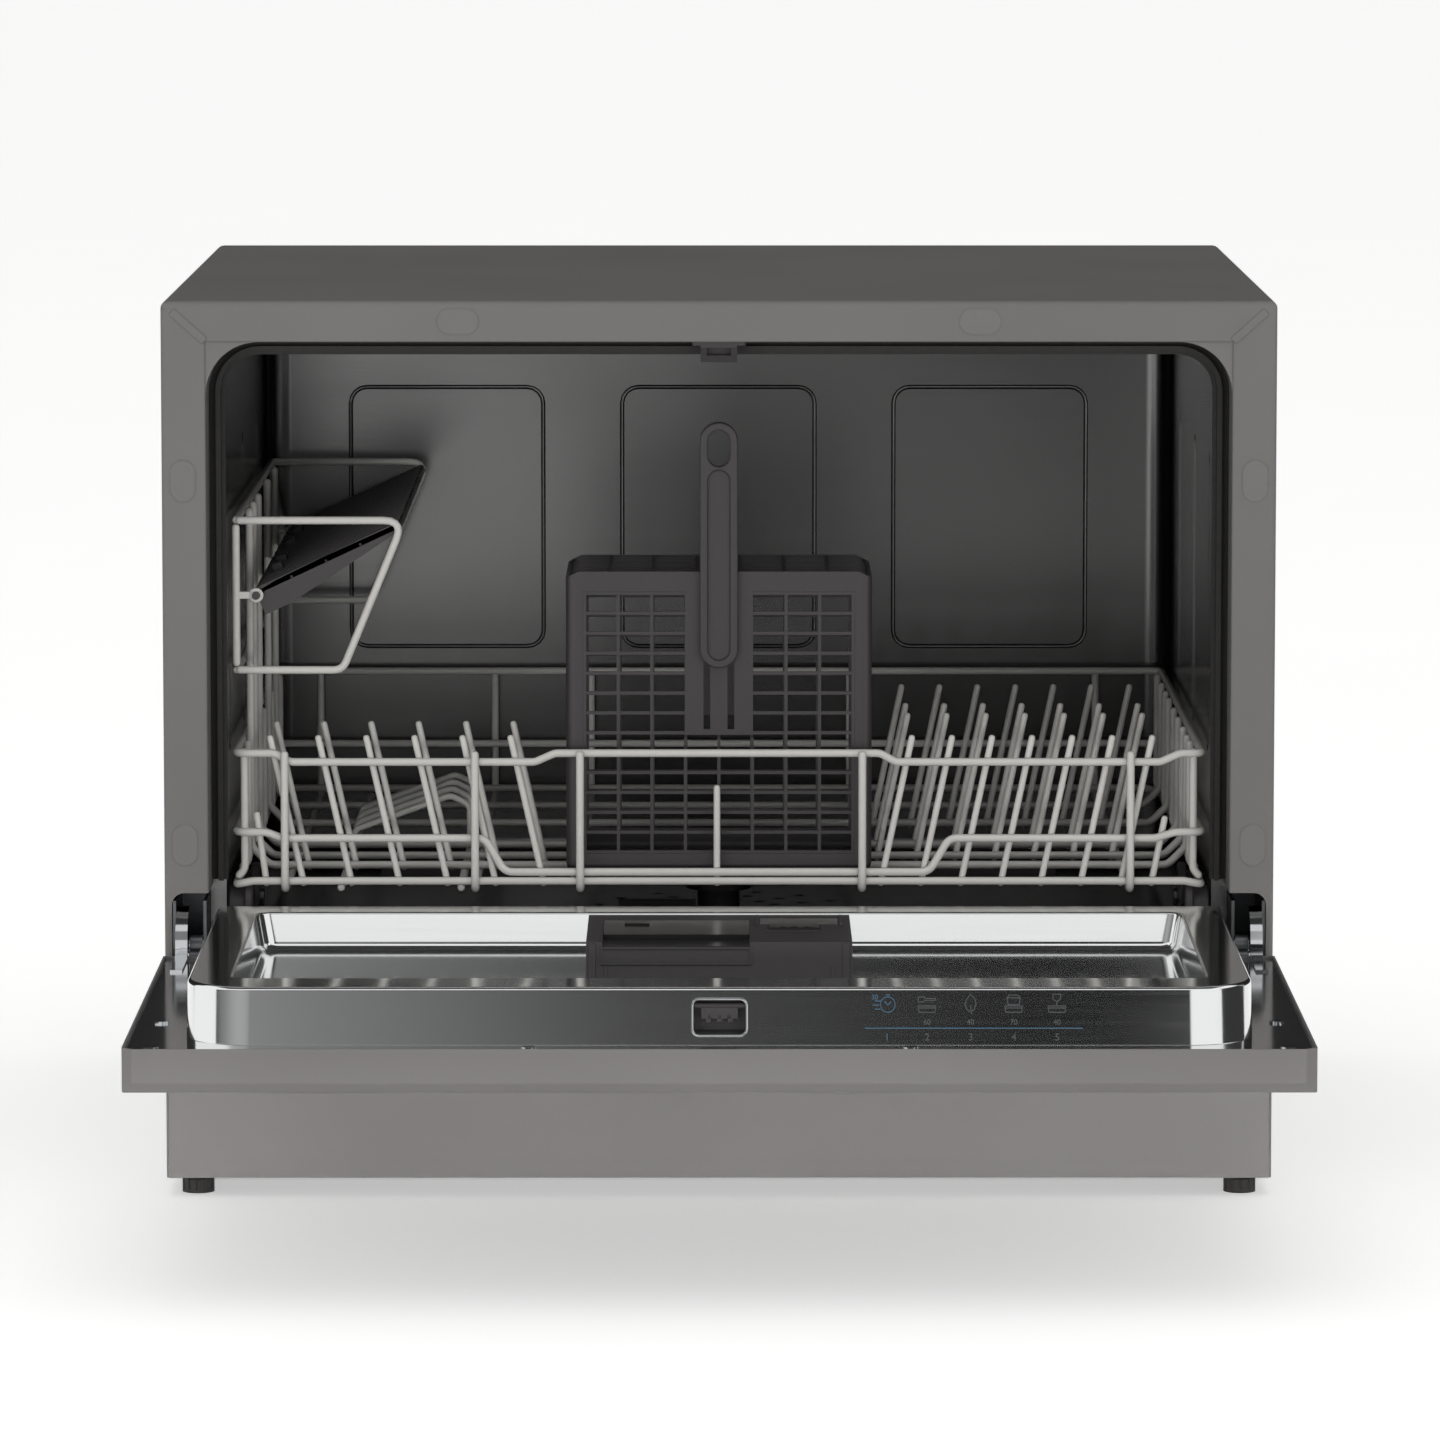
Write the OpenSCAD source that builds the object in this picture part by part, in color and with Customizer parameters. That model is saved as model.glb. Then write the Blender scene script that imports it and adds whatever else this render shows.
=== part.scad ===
// Countertop dishwasher, standing with its door open and its rack pushed in.
// +Y points into the cabinet and z = 0 is the surface that the feet stand on.

/* [Cabinet] */
// Overall width of the casing
body_w = 550; // [540:2:580]
// Height of the casing above its underside
body_h = 437; // [430:1:460]
// Depth of the casing behind the front flange
body_d = 479; // [470:1:510]
// Clearance between the casing's underside and the worktop
foot_h = 9; // [7:0.5:14]
// Thickness of the painted sheet
sheet_t = 1; // [0.8:0.1:1.2]
// Width of the front flange beside the mouth
flange_side = 22; // [21.5:0.5:24]
// Height of the front flange over the mouth
flange_top = 20.5; // [19:0.5:22]
// Depth of the recess between the flange and the gasket's seat
mouth_recess = 33; // [32.5:0.5:35]
// Height of the kick plate's top edge over the worktop
kick_top_z = 118; // [114:0.5:118]
// Outer radius of the mouth's top corners
mouth_r = 26; // [20:1:32]
// Length of an oval flange plug
plug_l = 21; // [16:1:24]
// Width of an oval flange plug
plug_w = 13; // [10:0.5:14]

/* [Tub] */
// Step from the recess's side walls in to the tub's side walls
tub_step = 7; // [6.5:0.5:8]
// Height of the tub's floor over the worktop
tub_floor_z = 112; // [110:0.5:113]
// Step from the mouth's upper edge down to the tub's ceiling
tub_drop = 5.5; // [4.5:0.5:8.5]
// Depth of the space between the tub's back wall and the casing's back
rear_space = 49; // [46:0.5:51]
// Thickness of the stainless sheet
steel_t = 1.2; // [0.8:0.1:1.4]
// Depth of the pressed grooves in the tub's walls
groove_d = 0.5; // [0.3:0.1:0.6]
// Width of the pressed grooves in the tub's walls
groove_w = 3; // [2:0.5:5]
// Width of one pressed back panel
panel_w = 107; // [90:1:110]
// Height of one pressed back panel
panel_h = 144; // [120:2:150]
// Spacing of the pressed back panels
panel_pitch = 147.5; // [146:0.5:150]
// Height of the pressed back panels' lower edge over the worktop
panel_z = 229; // [220:1:240]
// Bore of the sump's mouth in the tub's floor
sump_d = 144; // [130:2:150]
// Clearance between the spray arm's tips and the tub's back wall
spray_gap = 22.5; // [18:0.5:60]

/* [Door] */
// Thickness of the door panel
door_t = 21; // [19:0.5:24]
// Gap between the closed door's upper edge and the casing's top
door_top_gap = 1.1; // [0.8:0.1:3.4]
// Distance from the hinge line to the panel's lower edge
door_set = 14; // [12.5:0.5:15]
// Height of the hinge line over the worktop
hinge_z = 125.6; // [125.4:0.1:126.4]
// Distance of the hinge line behind the flange's face
hinge_y = 3; // [2.5:0.1:3]
// Gap between the closed door and the flange
door_gap = 0.5; // [0.4:0.1:1]
// Size of the bevel along the panel's upper edge and down its two upper corners
door_bevel = 5; // [3:0.5:6]
// Clearance between the liner's raised hat and the mouth's side walls
liner_side = 5; // [4.5:0.5:7]
// Depth that the closed liner reaches behind the flange
liner_in = 23.7; // [22:0.1:24]
// Corner radius of the liner's hat
liner_r = 25; // [18:1:30]
// Rim width of the liner's hat beside its basin
liner_rim = 18; // [15:1:24]
// Rim width of the liner's hat above its basin
liner_rim_far = 27; // [22:1:32]
// Depth of the liner's basin below the rim
basin_d = 18; // [14:0.5:19]
// Width of the dispenser
disp_w = 128; // [120:2:140]
// Length of the dispenser up the door
disp_l = 104; // [98:1:112]
// Distance of the dispenser's lower edge from the hinge line
disp_set = 38; // [36:1:46]
// Radius of the chrome hinge arm's band
arm_r = 18; // [17:0.5:19]
// Width of the chrome hinge arm
arm_w = 6; // [5:0.5:7]
// Diameter of a push button
button_d = 10; // [8:0.5:12]
// Travel of a push button
button_travel = 1; // [0.8:0.1:1.5]
// Number of push buttons
button_n = 4; // [4:1:4]
// Spacing of the push buttons
button_pitch = 26; // [22:1:28]

/* [Rack] */
// Diameter of the rack's frame wires
wire_d = 4; // [3.6:0.1:4.2]
// Diameter of the rack's tines
tine_d = 3.4; // [3:0.1:3.6]
// Distance from the rack's side wires to the tub's side walls
rack_side = 5; // [4.8:0.1:6]
// Distance of the rack's front uprights behind the flange's face
rack_front = 29; // [28:0.2:30]
// Distance from the rack's rear uprights to the tub's back wall
rack_rear_gap = 9; // [7:0.5:17]
// Height of the rack's rim over the worktop
rack_rim_z = 218; // [214:1:222]
// Dip of the front rim where the plates pass
rim_dip = 4.4; // [3:0.1:6]
// Height of the rack's middle rail over the worktop
rack_mid_z = 178.3; // [174:0.5:182]
// Drop of the middle rail in front of the cutlery basket
mid_drop = 20; // [16:0.5:22]
// Height of a tine's tip over the worktop
tine_top_z = 226.6; // [220:1:232]
// Sideways lean of a plate tine
tine_lean = 17; // [10:0.5:18]
// Number of plate tines in a left row
tine_n_l = 6; // [5:1:6]
// Number of plate tines in a right row
tine_n_r = 7; // [6:1:7]
// Radius of a roller's tread
roller_r = 14; // [12:0.5:14]
// Radius of a roller's flange
roller_flange_r = 18; // [15.5:0.5:18]
// Width of a roller's tread
roller_w = 8; // [7:0.5:8]
// Radius of a roller's pin
roller_pin_r = 3; // [2.5:0.1:4]
// Spacing of the two rollers on one side
roller_pitch = 58; // [50:1:64]
// Radial running clearance of a pin in its bore
run_clear = 0.05; // [0.02:0.01:0.09]
// Hairline between neighbouring welded wires
weld_gap = 0.05; // [0.03:0.01:0.08]

/* [Cup shelf] */
// Height of the cup frame's top wire over the worktop
cup_top_z = 333.5; // [328:0.5:340]
// Height of the cup frame's bottom wire over the worktop
cup_low_z = 258.5; // [252:0.5:264]
// Reach of the cup frame's top wire from the rack's side wire
cup_reach = 84; // [80:1:90]
// Setback of the cup frame's bottom corner under its top corner
cup_setback = 31; // [25:1:35]
// Length of the plastic cup shelf from its pin
shelf_l = 80; // [74:1:82]
// Rise of the parked cup shelf
shelf_angle = 25; // [20:1:26]
// Thickness of the plastic cup shelf
shelf_t = 2.5; // [2:0.1:3]

/* [Cutlery basket] */
// Gap between the basket and the first plate tine beside it
basket_side = 4.1; // [3.6:0.1:7]
// Depth of the basket
basket_d = 91; // [84:1:94]
// Clearance between the basket's top and the tub's ceiling
basket_head = 112.2; // [108:0.2:124]
// Thickness of the basket's walls
basket_t = 2; // [1.6:0.1:2.4]
// Width of the basket's frame beside its grids
basket_frame = 8.5; // [7:0.5:12]
// Thickness of the grid bars
grid_bar = 1.6; // [1.2:0.1:2]
// Length of the pull-up handle
handle_l = 123; // [110:1:126]
// Width of the pull-up handle
handle_w = 19; // [17:0.5:21]
// Height of the raised handle above the basket
handle_up = 75; // [65:1:78]

/* [Hidden] */
$fn = 48;
edge = 0.01;
wire_r = wire_d / 2;
tine_r = tine_d / 2;

// Frame: x is centred, and y is centred on the open dishwasher's reach
body_top = foot_h + body_h;
half_w = body_w / 2;
mouth_half = half_w - flange_side;
mouth_top = body_top - flange_top;
door_h = body_top - door_top_gap - hinge_z - door_set;
door_reach = door_h + door_set - hinge_y;
rear_reach = 18;
front_y = (door_reach - body_d - rear_reach) / 2;

// Open door, seen from the flange's face: heights and the far edge
rim_z = hinge_z - hinge_y - door_gap;
panel_z0 = rim_z - door_t;
door_near = hinge_y - door_set;
door_far = -door_reach;
plate_inset = 1.5;
plate_z = rim_z - plate_inset;
liner_t = 1;
liner_top = hinge_z + liner_in - hinge_y;
liner_near = hinge_y - 8;
liner_far = hinge_y - (mouth_top - hinge_z) + 2.6;
liner_draft = 10;
basin_z = liner_top - basin_d;
basin_draft = 8;
basin_near = liner_near - 20;

gasket_w = 8;
gasket_in = mouth_half - gasket_w;
gasket_y = mouth_recess - 0.5;
tub_half = mouth_half - tub_step;
tub_top_z = mouth_top - tub_drop;
tub_back = body_d - rear_space;
spray_y = round((mouth_recess + tub_back) / 2);
liner_half = mouth_half - liner_side;
fit = 0.2;
touch = 0.3;

rack_half = tub_half - rack_side;
rail_y = rack_front + wire_d + weld_gap;
rack_rear = tub_back - rack_rear_gap;
rack_l = rack_rear - rack_front;
rear_rail_y = rack_rear - wire_d - weld_gap;
post_x = rack_half - wire_d - weld_gap;
runner_z = liner_top + 5.75;
floor_z = liner_top + 3.4;
cross_z = floor_z + wire_d + weld_gap;
post_foot_z = runner_z + wire_r + 0.92;
roller_z = runner_z - wire_r - weld_gap - roller_r;
roller_y = mouth_recess + 12;
roller_x = tub_half - 0.8;
flange_disc_w = 4.2;
rail_in = roller_x - roller_w - flange_disc_w - 0.5;
tine_y = rail_y + wire_r + tine_r + weld_gap;

// Places across the rack, as fractions of its half width
upright_x = rack_half * [-0.8988, -0.505, -0.2876, 0.2967, 0.8519];
floor_wire_x = rack_half * [-0.7842, -0.5353];
tine_x_l = rack_half * [-0.8602, -0.3622];
tine_x_r = rack_half * [0.3344, 0.8324];

// Places along the rack, as fractions of its length behind the front uprights
cross_y = [for (f = [0.1684, 0.2628, 0.3776, 0.6046, 0.7934]) rack_front + f * rack_l];
side_post_y = [for (f = [0.0207, 0.1046, 0.4872, 0.6913, 0.8954]) rack_front + f * rack_l];

cup_front = 45;
cup_rear = rack_rear - 21;
shelf_pin_x = -rack_half + 10;
shelf_pin_z = 296;
shelf_pin_r = 2;

basket_z = cross_z + wire_r + weld_gap;
basket_y = 45;
basket_w = 2 * (tine_x_r[0] - basket_side);
basket_h = tub_top_z - basket_head - basket_z;
handle_x = handle_w / 2;
handle_z = basket_z + basket_h + handle_up - handle_l;

sump_z = 72;
sump_t = 2.5;
cup_r = 20;
cup_x = -32;
cup_y = spray_y - 32;
seat_r = 11;
seat_top = 123.5;
spigot_r = 6;
arm_z = 124;
spray_reach = tub_back - spray_y - spray_gap + 0.5;
float_x = tub_half - 78;
float_y = 110;

paint = "#7e7c79";
dark = "#474445";
black = "#2a2928";
steel = "#8e9294";
chrome = "#c8cacc";
wire_grey = "#b0aca6";
copper = "#a3683e";
white = "#d9d9d6";

module at_front() { translate([0, front_y, 0]) children(); }

module box(lo, hi) { translate(lo) cube(hi - lo); }

// Mirrored pair, left and right of the centre plane
module pair() {
  children();
  mirror([1, 0, 0]) children();
}

// Rounded rectangle drawn from its low corner to its high corner
module round_rect(lo, hi, r) {
  w = hi - lo;
  translate([lo[0] + r, lo[1]]) square([w[0] - 2 * r, w[1]]);
  translate([lo[0], lo[1] + r]) square([w[0], w[1] - 2 * r]);
  for (x = [lo[0] + r, hi[0] - r], y = [lo[1] + r, hi[1] - r]) translate([x, y]) circle(r = r);
}

// Outline in x and z, drawn along +Y from y0 to y1
module along_y(y0, y1) {
  translate([0, y1, 0]) rotate([90, 0, 0]) linear_extrude(y1 - y0) children();
}

// Outline in y and z, drawn along +X from x0 to x1
module along_x(x0, x1) {
  translate([x0, 0, 0]) rotate([90, 0, 90]) linear_extrude(x1 - x0) children();
}

// Cylinders along +X, +Y and +Z
module x_rod(x0, x1, y, z, r) {
  translate([x0, y, z]) rotate([0, 90, 0]) cylinder(h = x1 - x0, r = r);
}

module y_rod(y0, y1, x, z, r) {
  translate([x, y0, z]) rotate([-90, 0, 0]) cylinder(h = y1 - y0, r = r);
}

module z_rod(z0, z1, x, y, r) {
  translate([x, y, z0]) cylinder(h = z1 - z0, r = r);
}

// Turns +Z to the direction d
module aim(d) {
  rotate([0, acos(d[2] / norm(d)), atan2(d[1], d[0])]) children();
}

// One straight length of wire, cut at both ends by the planes with normals na and nb
module limb(a, b, r, na, nb, gap) {
  d = unit(b - a);
  over = 3 * r;
  block = [6 * over, 6 * over, 4 * over];
  difference() {
    translate(a - d * over) aim(d) cylinder(h = norm(b - a) + 2 * over, r = r);
    translate(a + d * gap / 2) aim(na) translate([-3 * over, -3 * over, -4 * over]) cube(block);
    translate(b - d * gap / 2) aim(nb) translate([-3 * over, -3 * over, 0]) cube(block);
  }
}

function unit(v) = v / norm(v);

// A bent wire through the points p, mitred at each bend; a ring returns to its first point
module wire(p, r, ring = false, gap = weld_gap) {
  n = len(p);
  for (i = [0:ring ? n - 1 : n - 2]) {
    a = p[i];
    b = p[(i + 1) % n];
    d = unit(b - a);
    before = i == 0 && !ring ? d : unit(d + unit(a - p[(i + n - 1) % n]));
    after = i == n - 2 && !ring ? d : unit(d + unit(p[(i + 2) % n] - b));
    limb(a, b, r, before, after, gap);
  }
}

// Cabinet

// Outline of the mouth in x and z, with its square top corners
module mouth(grow = 0) {
  w = mouth_half + grow;
  translate([-w, kick_top_z]) square([2 * w, mouth_top + grow - kick_top_z]);
}

cut_w = 18.3;
cut_top_z = 152;
cut_r = 6;

// Outline of the hinge cut-out on the right
module hinge_cut() {
  translate([mouth_half - 2, kick_top_z - 1]) square([cut_w + 2 - cut_r, cut_top_z - kick_top_z + 1]);
  translate([mouth_half - 2, kick_top_z - 1]) square([cut_w + 2, cut_top_z - kick_top_z + 1 - cut_r]);
  translate([mouth_half + cut_w - cut_r, cut_top_z - cut_r]) circle(r = cut_r);
}

plug_top_x = 128.6;
plug_top_z = body_top - flange_top / 2;
plug_side_x = mouth_half + flange_side / 2 + 0.5;
plug_side_z = [176, 357];

module plug_outline(grow) {
  l = plug_l / 2 + grow;
  w = plug_w / 2 + grow;
  for (s = [-1, 1]) {
    translate([s * plug_top_x, plug_top_z]) round_rect([-l, -w], [l, w], w - edge);
    for (z = plug_side_z) translate([s * plug_side_x, z]) round_rect([-w, -l], [w, l], w - edge);
  }
}

strike_w = 18;

module outer_wrap() color(paint) at_front() difference() {
  union() {
    difference() {
      box([-half_w, 0, foot_h], [half_w, body_d, body_top]);
      box([-half_w + sheet_t, sheet_t, foot_h - 1], [half_w - sheet_t, body_d + 1, body_top - sheet_t]);
    }
    // Walls of the recess behind the flange
    along_y(sheet_t - edge, mouth_recess) mouth(sheet_t);
  }
  box([-half_w + sheet_t, -1, foot_h - 1], [half_w - sheet_t, sheet_t + 1, kick_top_z]);
  along_y(-1, mouth_recess + 1) mouth();
  along_y(-1, mouth_recess + 1) pair() hinge_cut();
  along_y(-1, sheet_t + 1) plug_outline(0);
}

module flange_plugs() color("#827f7c") at_front() {
  along_y(0, sheet_t) plug_outline(-fit);
  along_y(sheet_t, sheet_t + 1.5) plug_outline(1);
}

module corner_fillers() color("#8f8d8a") at_front() pair() difference() {
  box([mouth_half - mouth_r, sheet_t + touch, mouth_top - mouth_r], [mouth_half, gasket_y, mouth_top]);
  y_rod(0, mouth_recess + 1, mouth_half - mouth_r, mouth_top - mouth_r, mouth_r);
}

vent_n = 9;
valve_x = half_w - 85;
valve_z = 62;
valve_r = 13.2;
outlet_x = half_w - 155;
outlet_z = 62;
outlet_r = 9.5;
gland_x = -half_w + 75;
gland_z = 62;
gland_r = 8;

module rear_panel() color("#6f6d6a") at_front() difference() {
  w = half_w - sheet_t - fit;
  box([-w, body_d - sheet_t, foot_h + 4], [w, body_d, body_top - sheet_t - fit]);
  for (i = [0:vent_n - 1]) box([-90, body_d - 5, 130 + i * 12], [90, body_d + 1, 135 + i * 12]);
  y_rod(body_d - 5, body_d + 1, valve_x, valve_z, valve_r + 2);
  y_rod(body_d - 5, body_d + 1, outlet_x, outlet_z, outlet_r + 2);
  y_rod(body_d - 5, body_d + 1, gland_x, gland_z, gland_r + 1);
}

foot_r = 8;
foot_x = half_w - 15;
foot_front = 15;
foot_rear = body_d - 30;
thread_r = 4;
thread_l = 22;
boss_r = 10;
tray_t = 4;
tray_wall = 22;
tray_rib_z = foot_h - 2;

module base_tray() color("#3b3a3a") at_front() difference() {
  w = half_w - sheet_t - fit;
  union() {
    difference() {
      box([-w, sheet_t + fit, foot_h], [w, body_d - sheet_t - fit, foot_h + tray_wall]);
      box([-half_w + 6, 6, foot_h + tray_t], [half_w - 6, body_d - 6, foot_h + tray_wall + 1]);
    }
    pair() for (y = [foot_front, foot_rear]) z_rod(foot_h, foot_h + tray_wall, foot_x, y, boss_r);
    pair() for (x = [170, 187, 204]) box([x - 1, 20, tray_rib_z], [x + 1, 60, foot_h + 1]);
  }
  pair() for (y = [foot_front, foot_rear]) {
    z_rod(foot_h - 1, foot_h + tray_wall + 1, foot_x, y, thread_r + run_clear);
  }
}

module foot_at(x, y) {
  difference() {
    z_rod(0, foot_h - 2, x, y, foot_r);
    for (a = [0:30:330]) z_rod(1.5, foot_h, x + foot_r * cos(a), y + foot_r * sin(a), 0.8);
  }
  z_rod(foot_h - 2 - edge, foot_h + thread_l, x, y, thread_r);
}

module front_foot_left() color("#33312f") at_front() foot_at(-foot_x, foot_front);

module front_foot_right() color("#33312f") at_front() foot_at(foot_x, foot_front);

module rear_feet() color("#33312f") at_front() pair() foot_at(foot_x, foot_rear);

module kick_plate() color(paint) at_front() {
  box([-half_w + sheet_t + fit, 0, foot_h], [half_w - sheet_t - fit, sheet_t, kick_top_z - fit]);
}

// Tub and mouth

module tub_outline(grow) {
  h = tub_top_z - tub_floor_z;
  translate([-tub_half - grow, tub_floor_z - grow]) square([2 * (tub_half + grow), h + 2 * grow]);
}

sill_drop = 8;
slot_y = [71, 199, 334];
slot_h = 150;
slot_w = 14;
slot_z = tub_floor_z + 103;

module tub() color(steel) at_front() difference() {
  union() {
    along_y(mouth_recess, tub_back + steel_t) tub_outline(steel_t);
    along_y(mouth_recess, mouth_recess + steel_t) {
      translate([-mouth_half - sheet_t, kick_top_z - sill_drop]) {
        square([2 * (mouth_half + sheet_t), mouth_top + sheet_t - kick_top_z + sill_drop]);
      }
    }
  }
  along_y(mouth_recess - 1, tub_back) tub_outline(0);
  pw = panel_w / 2;
  for (i = [-1, 0, 1]) along_y(tub_back - 1, tub_back + groove_d) {
    translate([i * panel_pitch, panel_z]) difference() {
      round_rect([-pw, 0], [pw, panel_h], 10);
      round_rect([-pw + groove_w, groove_w], [pw - groove_w, panel_h - groove_w], 7);
    }
  }
  pair() for (y = slot_y) along_x(tub_half - 1, tub_half + groove_d) {
    round_rect([y - slot_w / 2, slot_z], [y + slot_w / 2, slot_z + slot_h], slot_w / 2 - edge);
  }
  z_rod(tub_floor_z - 5, tub_floor_z + 1, 0, spray_y, sump_d / 2);
}

blanket_t = 4;

module tub_insulation() color("#2f2d2b") at_front() difference() {
  w = tub_half + steel_t + touch;
  top = tub_top_z + steel_t;
  low_z = tub_floor_z + 38;
  box([-w - blanket_t, mouth_recess + 4, low_z], [w + blanket_t, tub_back, top + blanket_t]);
  box([-w, 0, 0], [w, body_d, top]);
}

gasket_low_z = runner_z + 3;
lip_t = 2.5;

// Section of the gasket's path in x and z, open at the bottom
module gasket_ring(outer, inner) {
  out = mouth_half - outer;
  in = mouth_half - inner;
  difference() {
    round_rect([-outer, gasket_low_z - 2 * mouth_r], [outer, mouth_top - out], mouth_r - out);
    round_rect([-inner, gasket_low_z - 3 * mouth_r], [inner, mouth_top - in], mouth_r - in);
    translate([-half_w, -100]) square([body_w, gasket_low_z + 100]);
  }
}

module door_gasket() color(black) at_front() {
  along_y(mouth_recess - 3, mouth_recess) gasket_ring(mouth_half - fit, gasket_in);
  along_y(liner_in + 0.5, mouth_recess - 3 + edge) gasket_ring(gasket_in + 2 + lip_t, gasket_in + 2);
}

module mouth_sill() color(steel) at_front() {
  w = mouth_half - fit;
  top = kick_top_z - fit;
  box([-w, sheet_t, top - sheet_t], [w, mouth_recess, top]);
  box([-w, mouth_recess - sheet_t, kick_top_z - sill_drop], [w, mouth_recess, top - sheet_t + edge]);
}

seal_h = 13;

module bottom_seal() color(black) at_front() {
  w = gasket_in - 14;
  box([-w, mouth_recess - 4, kick_top_z - fit], [w, mouth_recess, kick_top_z + seal_h]);
}

strike_drop = 10.5;

// Catch that hangs from the flange into the mouth's recess
module door_strike() color(dark) at_front() difference() {
  union() {
    box([-strike_w / 2 - 4, 5, mouth_top - 2], [strike_w / 2 + 4, 22, mouth_top]);
    along_x(-strike_w / 2, strike_w / 2) polygon([
      [5, mouth_top - 1], [17, mouth_top - 1], [17, mouth_top - strike_drop + 2],
      [15, mouth_top - strike_drop], [10, mouth_top - strike_drop], [5, mouth_top - 3]
    ]);
  }
  box([-strike_w / 2 + 3, 4, mouth_top - 7], [strike_w / 2 - 3, 13, mouth_top - 3]);
}

// Hinges

bracket_t = 1.5;
bracket_in = mouth_half + sheet_t + touch;
bracket_out = mouth_half + cut_w - bracket_t - 0.4;
pin_r = 4;
hub_r = 7;
arm_x = bracket_out - arm_w - 0.6;
band_t = 3;

module hinge_brackets() color("#9b9da0") at_front() pair() {
  z0 = kick_top_z - 30;
  z1 = kick_top_z + 30;
  for (x = [bracket_in, bracket_out]) box([x, sheet_t + touch, z0], [x + bracket_t, 60, z1]);
  box([bracket_in, 57, z0], [bracket_out + bracket_t, 60, z1]);
}

module hinge_pins() color(chrome) at_front() pair() {
  x_rod(bracket_in + bracket_t, bracket_out, hinge_y, hinge_z, pin_r);
}

// Arc between two angles in the y and z plane, about the hinge line
module band(r0, r1, a0, a1) {
  steps = 8;
  sweep = (360 + a0 - a1) / steps;
  difference() {
    circle(r = r1);
    circle(r = r0);
    polygon(concat([[0, 0]], [for (i = [0:steps]) 4 * r1 * [cos(a1 + sweep * i), sin(a1 + sweep * i)]]));
  }
}

leg_l = 44;

module hinge_arms() color(chrome) at_front() pair() difference() {
  union() {
    along_x(arm_x, arm_x + arm_w) translate([hinge_y, hinge_z]) {
      band(arm_r - band_t / 2, arm_r + band_t / 2, 85, 190);
      circle(r = hub_r);
    }
    along_x(arm_x + 2, arm_x + 4) translate([hinge_y, hinge_z]) intersection() {
      circle(r = arm_r);
      polygon([[0, 0], [0, 2 * arm_r], [-2 * arm_r, 2 * arm_r], [-2 * arm_r, 0]]);
    }
    box([arm_x, -19, plate_z], [arm_x + arm_w, -12, plate_z + 2.6]);
    box([arm_x, -14 - leg_l, plate_z], [arm_x + arm_w, -12, plate_z + 1.2]);
  }
  x_rod(arm_x - 1, arm_x + arm_w + 1, hinge_y, hinge_z, pin_r + run_clear);
}

module door_springs() color("#77797b") at_front() pair() difference() {
  x_rod(bracket_in + bracket_t + touch, arm_x - touch, hinge_y, hinge_z, pin_r + 2.5);
  x_rod(bracket_in, arm_x, hinge_y, hinge_z, pin_r + touch);
}

// Rollers that carry the rack's runners

module roller_at(y) difference() {
  union() {
    x_rod(roller_x - roller_w, roller_x, y, roller_z, roller_r);
    x_rod(roller_x - roller_w - flange_disc_w, roller_x - roller_w + edge, y, roller_z, roller_flange_r);
  }
  x_rod(roller_x - 30, roller_x + 1, y, roller_z, roller_pin_r + run_clear);
}

module roller_front_right() color("#3d3b3c") at_front() roller_at(roller_y);

module roller_front_left() color("#3d3b3c") at_front() mirror([1, 0, 0]) roller_at(roller_y);

module roller_rear_right() color("#3d3b3c") at_front() roller_at(roller_y + roller_pitch);

module roller_rear_left() color("#3d3b3c") at_front() mirror([1, 0, 0]) roller_at(roller_y + roller_pitch);

module roller_pins() color("#9b9da0") at_front() pair() for (y = [roller_y, roller_y + roller_pitch]) {
  head_x = roller_x - roller_w - flange_disc_w - touch;
  x_rod(head_x - edge, tub_half, y, roller_z, roller_pin_r);
  x_rod(head_x - 1.7, head_x, y, roller_z, roller_pin_r + 2);
}

// Hydraulics

module sump() color("#4a4c4e") at_front() difference() {
  union() {
    z_rod(sump_z, tub_floor_z - steel_t, 0, spray_y, sump_d / 2 - 2);
    z_rod(tub_floor_z - steel_t - 3, tub_floor_z - steel_t, 0, spray_y, sump_d / 2 + 8);
  }
  z_rod(sump_z + sump_t, tub_floor_z, 0, spray_y, sump_d / 2 - 2 - sump_t);
}

module filter_plate() color("#7c8082") at_front() difference() {
  z_rod(tub_floor_z, tub_floor_z + 1.2, 0, spray_y, sump_d / 2 + 5);
  z_rod(tub_floor_z - 1, tub_floor_z + 3, cup_x, cup_y, cup_r + 0.5);
  z_rod(tub_floor_z - 1, tub_floor_z + 3, 0, spray_y, seat_r + 0.5);
  for (a = [0:24:359], r = [32, 48, 64]) {
    x = r * cos(a);
    y = r * sin(a);
    if (norm([x - cup_x, y - cup_y + spray_y]) > cup_r + 9) {
      z_rod(tub_floor_z - 1, tub_floor_z + 3, x, spray_y + y, 3);
    }
  }
}

module filter_cup() color("#55585a") at_front() difference() {
  union() {
    z_rod(sump_z + sump_t + touch, tub_floor_z + 1, cup_x, cup_y, cup_r);
    z_rod(tub_floor_z + 1.5, tub_floor_z + 4, cup_x, cup_y, cup_r + 4);
    z_rod(tub_floor_z + 1 - edge, tub_floor_z + 2, cup_x, cup_y, cup_r);
    box([cup_x - cup_r, cup_y - 1.5, tub_floor_z + 3], [cup_x + cup_r, cup_y + 1.5, tub_floor_z + 10]);
  }
  difference() {
    z_rod(sump_z, tub_floor_z + 5, cup_x, cup_y, cup_r - 2);
    box([cup_x - cup_r, cup_y - 1.5, tub_floor_z + 3], [cup_x + cup_r, cup_y + 1.5, tub_floor_z + 10]);
  }
}

module float() color("#55585a") at_front() {
  z_rod(tub_floor_z + touch, tub_floor_z + 14, float_x, float_y, 12);
  z_rod(tub_floor_z + 14 - edge, tub_floor_z + 16, float_x, float_y, 9);
}

module spray_seat() color("#4a4c4e") at_front() {
  z_rod(sump_z + sump_t, seat_top, 0, spray_y, seat_r);
  z_rod(seat_top - edge, seat_top + 10, 0, spray_y, spigot_r);
}

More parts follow.
